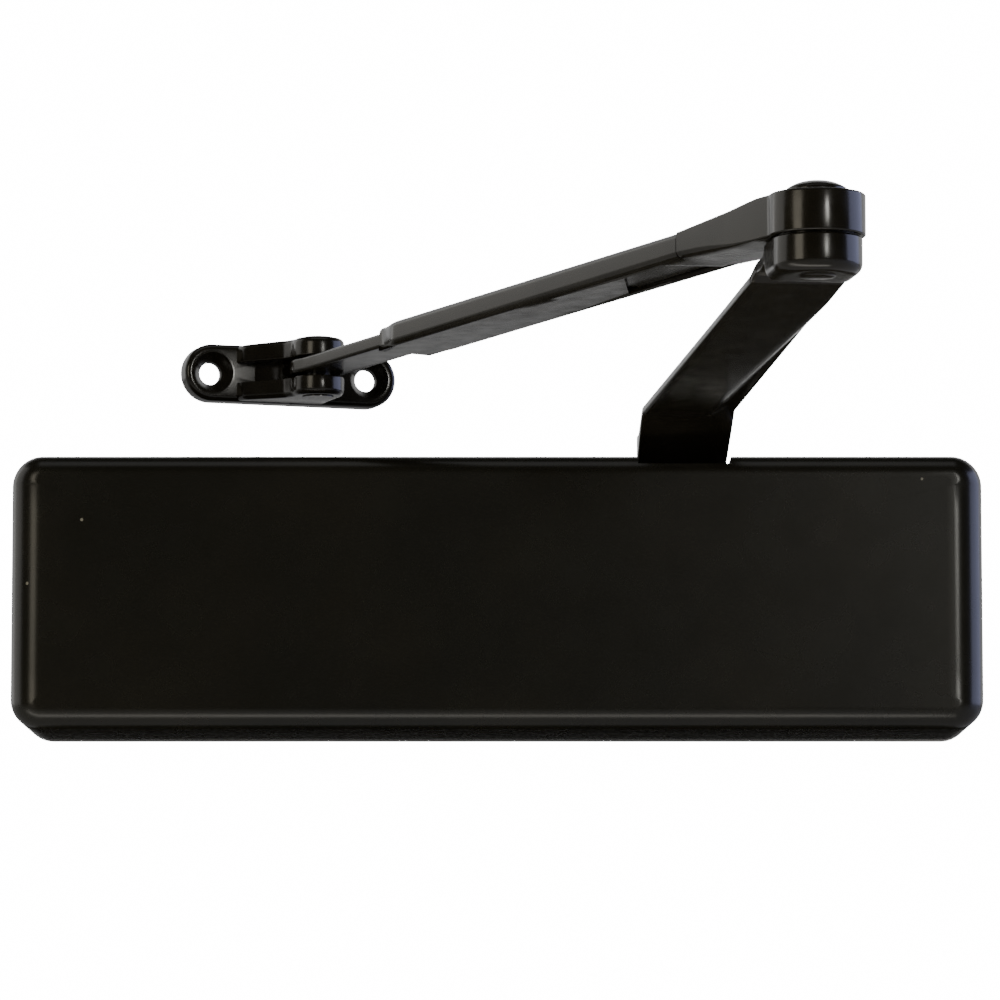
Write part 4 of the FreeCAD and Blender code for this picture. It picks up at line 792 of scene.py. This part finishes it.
class DOORCLOSER_OT_forearm_rod(bpy.types.Operator):
    """Flat rod that slides in the sleeve and ends in a round eye: half width constant, then the
    eye's circle."""
    bl_idname = "doorcloser.forearm_rod"
    bl_label = "Forearm rod"

    def execute(self, context):
        eye, half_width, thick = 9.4 * MM, 8.5 * MM, 4.64 * MM
        start = 150 * MM
        bar = np.concatenate([[start, start + 0.3 * MM],
                              np.linspace(start + 1 * MM, FOREARM_LENGTH - 14 * MM, 40)])
        bar_half = np.full(len(bar), half_width)
        bar_half[0] = 0
        neck = np.linspace(FOREARM_LENGTH - 12 * MM, FOREARM_LENGTH - 4 * MM, 8)
        neck_half = ramp(neck, (FOREARM_LENGTH - 12 * MM, half_width), (FOREARM_LENGTH - 4 * MM, eye * 0.93))
        end, end_half = half_round(eye, FOREARM_LENGTH, 1, 17)
        along = np.concatenate([bar, neck, end])
        half = np.concatenate([bar_half, neck_half, end_half])

        def floor(place, across):
            return ELBOW[2] + FOREARM_SLOPE * np.minimum(place, FOREARM_LENGTH) - thick / 2

        def top(place, across):
            return floor(place, across) + thick

        def edge(place):
            return 1.1 * MM + 0 * place

        points, faces = Forging(along, half, floor, top, edge, edge, 5).surface(7)
        piece = new_piece("flat_eye_rod", set_along(points, ELBOW, FOREARM_LINE), faces, "rod",
                          made("gloss_bronze_enamel"), 32)
        stand_for(piece, "forearm_rod")
        return {"FINISHED"}


class DOORCLOSER_OT_shoe(bpy.types.Operator):
    """Forged shoe, drawn round its pin with its plate square to Y and then turned.  The plate is
    two halves, each a set of rings round a countersunk hole that widen to the outline; two
    prongs and the root between them are forgings drawn from above, each a half circle round the
    pin whose left side spreads out to the plate."""
    bl_idname = "doorcloser.shoe"
    bl_label = "Shoe"

    def execute(self, context):
        back, plate, ear, offset = 28 * MM, 6.5 * MM, 9.6 * MM, 2.6 * MM
        half_pitch = 27.2 * MM
        parts = [self.half_plate(side, half_pitch, offset, back, plate, ear) for side in (-1, 1)]
        parts += [self.prong(*levels, back) for levels in ((3.3 * MM, 9.6 * MM), (-9.6 * MM, -3.3 * MM))]
        parts.append(self.root(back))
        start, points, faces = 0, [], []
        for part_points, part_faces in parts:
            points.append(part_points)
            faces += [[number + start for number in face] for face in part_faces]
            start += len(part_points)
        placed = set_along(np.vstack(points), SHOE_PIN[:2], SHOE_TURN) + [0, 0, SHOE_PIN[2]]
        piece = new_piece("forged_shoe", placed, faces, "shoe", made("gloss_bronze_enamel"), 34)
        stand_for(piece, "shoe")
        return {"FINISHED"}

    @staticmethod
    def half_plate(side, half_pitch, offset, back, plate, ear):
        """Half of the plate round one screw hole.  Each ring is cast from the hole's axis onto a
        stadium pulled in by the ring's inset, cut off at the plate's middle; the inner rings are
        the countersink and the hole."""
        front, hole, sink, edge = back - plate, 3.7 * MM, 6.6 * MM, 1.8 * MM
        corner = math.atan2(ear, half_pitch)
        turn = np.concatenate([np.linspace(-corner, corner, 13),
                               np.linspace(corner, 2 * math.pi - corner, 85)[1:-1]])
        middle = half_pitch / np.maximum(np.cos(turn), 1e-6)

        def cast(inset):
            reach = ear - inset
            flat = reach / np.maximum(np.abs(np.sin(turn)), 1e-6)
            return np.where(np.cos(turn) > 0, np.minimum(middle, flat), reach)

        bend = arc(0, 90, 6)
        rings = [(cast(0.0), np.full(len(turn), back))]
        for angle in bend:
            depth = front + edge * (1 - math.sin(angle))
            rings.append((cast(edge * (1 - math.cos(angle))), np.full(len(turn), depth)))
        countersink = ((sink + 0.8 * MM, 0.0), (sink + 0.2 * MM, 0.08 * MM), (sink - 0.1 * MM, 0.4 * MM),
                       (hole + 0.3 * MM, 3.9 * MM), (hole, 4.4 * MM))
        for radius, depth in countersink:
            rings.append((np.full(len(turn), radius), np.full(len(turn), front + depth)))
        rings.append((np.full(len(turn), hole), np.full(len(turn), back)))
        grid = np.array([np.column_stack([radius * np.cos(turn), depth, radius * np.sin(turn)])
                         for radius, depth in rings])
        grid[..., 0] = -side * grid[..., 0] + side * half_pitch - offset
        count = grid.shape[0] * len(turn)
        faces = grid_quads(len(rings) + 1, len(turn), 0, True, side > 0) % count
        return grid.reshape(-1, 3), faces.tolist()

    @staticmethod
    def prong(bottom, top, back):
        """A prong drawn along -Y from the plate towards its nose round the pin."""
        radius, start = 8.6 * MM, -(back - 1.5 * MM)
        nose, nose_half = half_round(radius, 0, 1, 15)
        along = np.concatenate([[start, start + 0.3 * MM], np.linspace(start + 1 * MM, -1 * MM, 30), nose])
        flank = ramp(along, (start, 1), (-18 * MM, 0.8), (-12 * MM, 0.45), (-6 * MM, 0.1), (-2 * MM, 0))
        left = radius + 15 * MM * flank
        right = radius + 1.2 * MM * (1 - smooth_step(along, start, -8 * MM))
        half = (left + right) / 2
        half[0] = 0
        half[-len(nose):] = nose_half
        centre = np.where(along < -1 * MM, (right - left) / 2, 0)
        outside = 1 if top > 0 else -1

        def level(height, rounded):
            def at(place, across):
                swell = 0.4 * MM * (1 - smooth_step(place, start, -6 * MM))
                return height + (outside * (-swell) if rounded else 0 * place)
            return at

        def edge(rounded):
            return lambda place: (1.9 if rounded else 0.5) * MM + 0 * place

        upper = top > 0
        forging = Forging(along, half, level(bottom, not upper), level(top, upper), edge(not upper),
                          edge(upper), 6)
        points, faces = forging.surface(9)
        points[:, 1] += np.interp(points[:, 0], along, centre)
        return np.column_stack([points[:, 1], -points[:, 0], points[:, 2]]), faces

    @staticmethod
    def root(back):
        """Metal between the prongs behind the rod's eye."""
        start, end = -(back - 1.5 * MM), -10.8 * MM
        along = np.concatenate([[start, start + 0.3 * MM],
                                np.linspace(start + 1 * MM, end - 0.3 * MM, 16), [end]])
        half = 14 * MM - 5 * MM * smooth_step(along, start, end)
        half[[0, -1]] = 0
        flat = (lambda place, across: 0 * place - 3.6 * MM, lambda place, across: 0 * place + 3.6 * MM)
        edges = (lambda place: 0.2 * MM + 0 * place, lambda place: 0.2 * MM + 0 * place)
        points, faces = Forging(along, half, *flat, *edges, 3).surface(7)
        points[:, 1] -= ramp(points[:, 0], (start, 4 * MM), (end, 0))
        return np.column_stack([points[:, 1], -points[:, 0], points[:, 2]]), faces


class DOORCLOSER_OT_stage(bpy.types.Operator):
    """Pale floor inside a bright white room, a black flag, soft lights, and the camera."""
    bl_idname = "doorcloser.stage"
    bl_label = "Stage"

    def execute(self, context):
        sizes = context.scene.doorcloser_studio
        self.floor(sizes)
        self.backdrop(sizes)
        self.flag(sizes)
        self.lamps(context, sizes)
        camera_data = bpy.data.cameras.new("camera")
        camera_data.lens = sizes.lens
        camera_data.sensor_width = 36
        camera_data.clip_end = 50
        camera = bpy.data.objects.new("camera", camera_data)
        camera.location = (0.97 * MM, -sizes.distance, -sizes.drop)
        camera.rotation_euler = (math.pi / 2 + sizes.pitch, 0, 0)
        context.scene.collection.objects.link(camera)
        context.scene.camera = camera
        return {"FINISHED"}

    @staticmethod
    def panel(name, points, faces, material):
        """A flat piece of the studio."""
        mesh = bpy.data.meshes.new(name)
        mesh.from_pydata(points, [], faces)
        mesh.materials.append(material)
        piece = bpy.data.objects.new(name, mesh)
        bpy.context.scene.collection.objects.link(piece)
        return piece

    def floor(self, sizes):
        """Pale paper floor, a square of 8 m."""
        level = sizes.floor
        self.panel("studio_floor", [(-4, -4, level), (4, -4, level), (4, 4, level), (-4, 4, level)],
                   [(0, 1, 2, 3)], matt_paper("studio_paper", "#e9e9e6"))

    def backdrop(self, sizes):
        """White room round the floor that only the camera sees, lit far above the object so that
        it shows as plain white."""
        material = bpy.data.materials.new("white_backdrop")
        material.use_nodes = True
        material.node_tree.nodes.clear()
        tree = material.node_tree
        glow = add(tree, "ShaderNodeEmission", {"Color": (1, 1, 1, 1), "Strength": sizes.backdrop})
        add(tree, "ShaderNodeOutputMaterial", links={"Surface": glow.outputs["Emission"]})
        half, low_end, high_end = 3.9, sizes.floor, 5.0
        corners = ((-half, -half), (half, -half), (half, half), (-half, half))
        points = [(x, y, z) for z in (low_end, high_end) for x, y in corners]
        faces = [(0, 4, 5, 1), (1, 5, 6, 2), (2, 6, 7, 3), (3, 7, 4, 0), (4, 7, 6, 5)]
        room = self.panel("white_room", points, faces, material)
        room.visible_glossy = room.visible_diffuse = room.visible_shadow = False
        room.visible_transmission = room.visible_volume_scatter = False

    def flag(self, sizes):
        """Black card behind and below the cover, which keeps its underside dark.  Only
        reflections see it."""
        half, place = 0.17, 4 * MM
        low_end, high_end = sizes.floor + 0.05, float(low("cover")[2]) - 2 * MM
        points = [(-half, place, low_end), (half, place, low_end), (half, place, high_end),
                  (-half, place, high_end)]
        card = self.panel("black_flag", points, [(0, 1, 2, 3)], matt_paper("black_card", "#050505"))
        card.visible_camera = card.visible_shadow = card.visible_diffuse = False

    @staticmethod
    def lamps(context, sizes):
        """Area lamps as (name, place, aim, width, height, radiance, colour); the camera sees none."""
        world = bpy.data.worlds.new("studio")
        world.use_nodes = True
        world.node_tree.nodes["Background"].inputs["Color"].default_value = linear("#8c8a84")
        world.node_tree.nodes["Background"].inputs["Strength"].default_value = sizes.surround
        context.scene.world = world
        lamps = (
            ("back_wall", (0, 2.6, 1.4), (0, 0, 1.4), 8.0, 3.0, 0.9, "#ffffff"),
            ("left_wall", (-3.0, 1.1, 1.3), (0, 1.1, 1.3), 3.0, 3.0, 1.0, "#fffdf8"),
            ("right_window", (2.18, 0.27, 0.55), (0, 0, 0.3), 2.0, 1.4, 2.6, "#c6ccf6"),
            ("right_strip", (0.70, -1.85, 0.36), (0, 0, 0.1), 0.16, 0.36, 24.0, "#fffdf6"),
            ("right_card", (0.62, 1.7, sizes.floor + 0.01), (0.62, 1.7, 1.0), 0.74, 1.6, 0.45, "#fffdf6"),
            ("left_softbox", (-0.62, -0.85, 0.22), (0, -0.06, 0), 0.35, 0.45, 2.6, "#fff6e0"),
            ("low_card", (-0.22, -0.36, sizes.floor + 0.01), (-0.22, -0.36, 1.0), 0.9, 0.12, 2.4, "#fffaf0"),
            ("top_softbox", (0, -0.7, 2.2), (0, 0, 0), 2.0, 1.2, 0.5, "#ffffff"),
        )
        for name, place, aim, width, tall, radiance, colour in lamps:
            data = bpy.data.lights.new(name, "AREA")
            data.shape = "RECTANGLE"
            data.size, data.size_y = width, tall
            data.energy = radiance * math.pi * width * tall
            data.color = linear(colour)[:3]
            lamp = bpy.data.objects.new(name, data)
            lamp.location = place
            lamp.rotation_euler = (Vector(aim) - Vector(place)).to_track_quat("-Z", "Y").to_euler()
            lamp.visible_camera = False
            context.scene.collection.objects.link(lamp)


class DOORCLOSER_PT_panel(bpy.types.Panel):
    """Lists the pieces in the order they are made."""
    bl_label = "Door closer"
    bl_idname = "DOORCLOSER_PT_panel"
    bl_space_type = "VIEW_3D"
    bl_region_type = "UI"
    bl_category = "Door closer"

    def draw(self, context):
        for operator in PIECES:
            self.layout.operator(operator.bl_idname)
        for group in ("doorcloser_cover", "doorcloser_finishes", "doorcloser_studio"):
            settings = getattr(context.scene, group)
            for name in settings.bl_rna.properties.keys():
                if name not in ("rna_type", "name"):
                    self.layout.prop(settings, name)


GROUPS = {"doorcloser_cover": CoverSizes, "doorcloser_finishes": Finishes, "doorcloser_studio": StudioSizes}
PIECES = (DOORCLOSER_OT_finishes, DOORCLOSER_OT_cover, DOORCLOSER_OT_main_arm, DOORCLOSER_OT_elbow_rivet,
          DOORCLOSER_OT_forearm_elbow_piece, DOORCLOSER_OT_forearm_sleeve, DOORCLOSER_OT_forearm_rod,
          DOORCLOSER_OT_shoe, DOORCLOSER_OT_stage)


def register():
    for item in (*GROUPS.values(), *PIECES, DOORCLOSER_PT_panel):
        bpy.utils.register_class(item)
    for name, group in GROUPS.items():
        setattr(bpy.types.Scene, name, bpy.props.PointerProperty(type=group))


def unregister():
    for name in GROUPS:
        delattr(bpy.types.Scene, name)
    for item in (DOORCLOSER_PT_panel, *reversed(PIECES), *GROUPS.values()):
        bpy.utils.unregister_class(item)


def main():
    """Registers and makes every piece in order."""
    register()
    for operator in PIECES:
        family, name = operator.bl_idname.split(".")
        getattr(getattr(bpy.ops, family), name)()


if __name__ == "__main__":
    main()
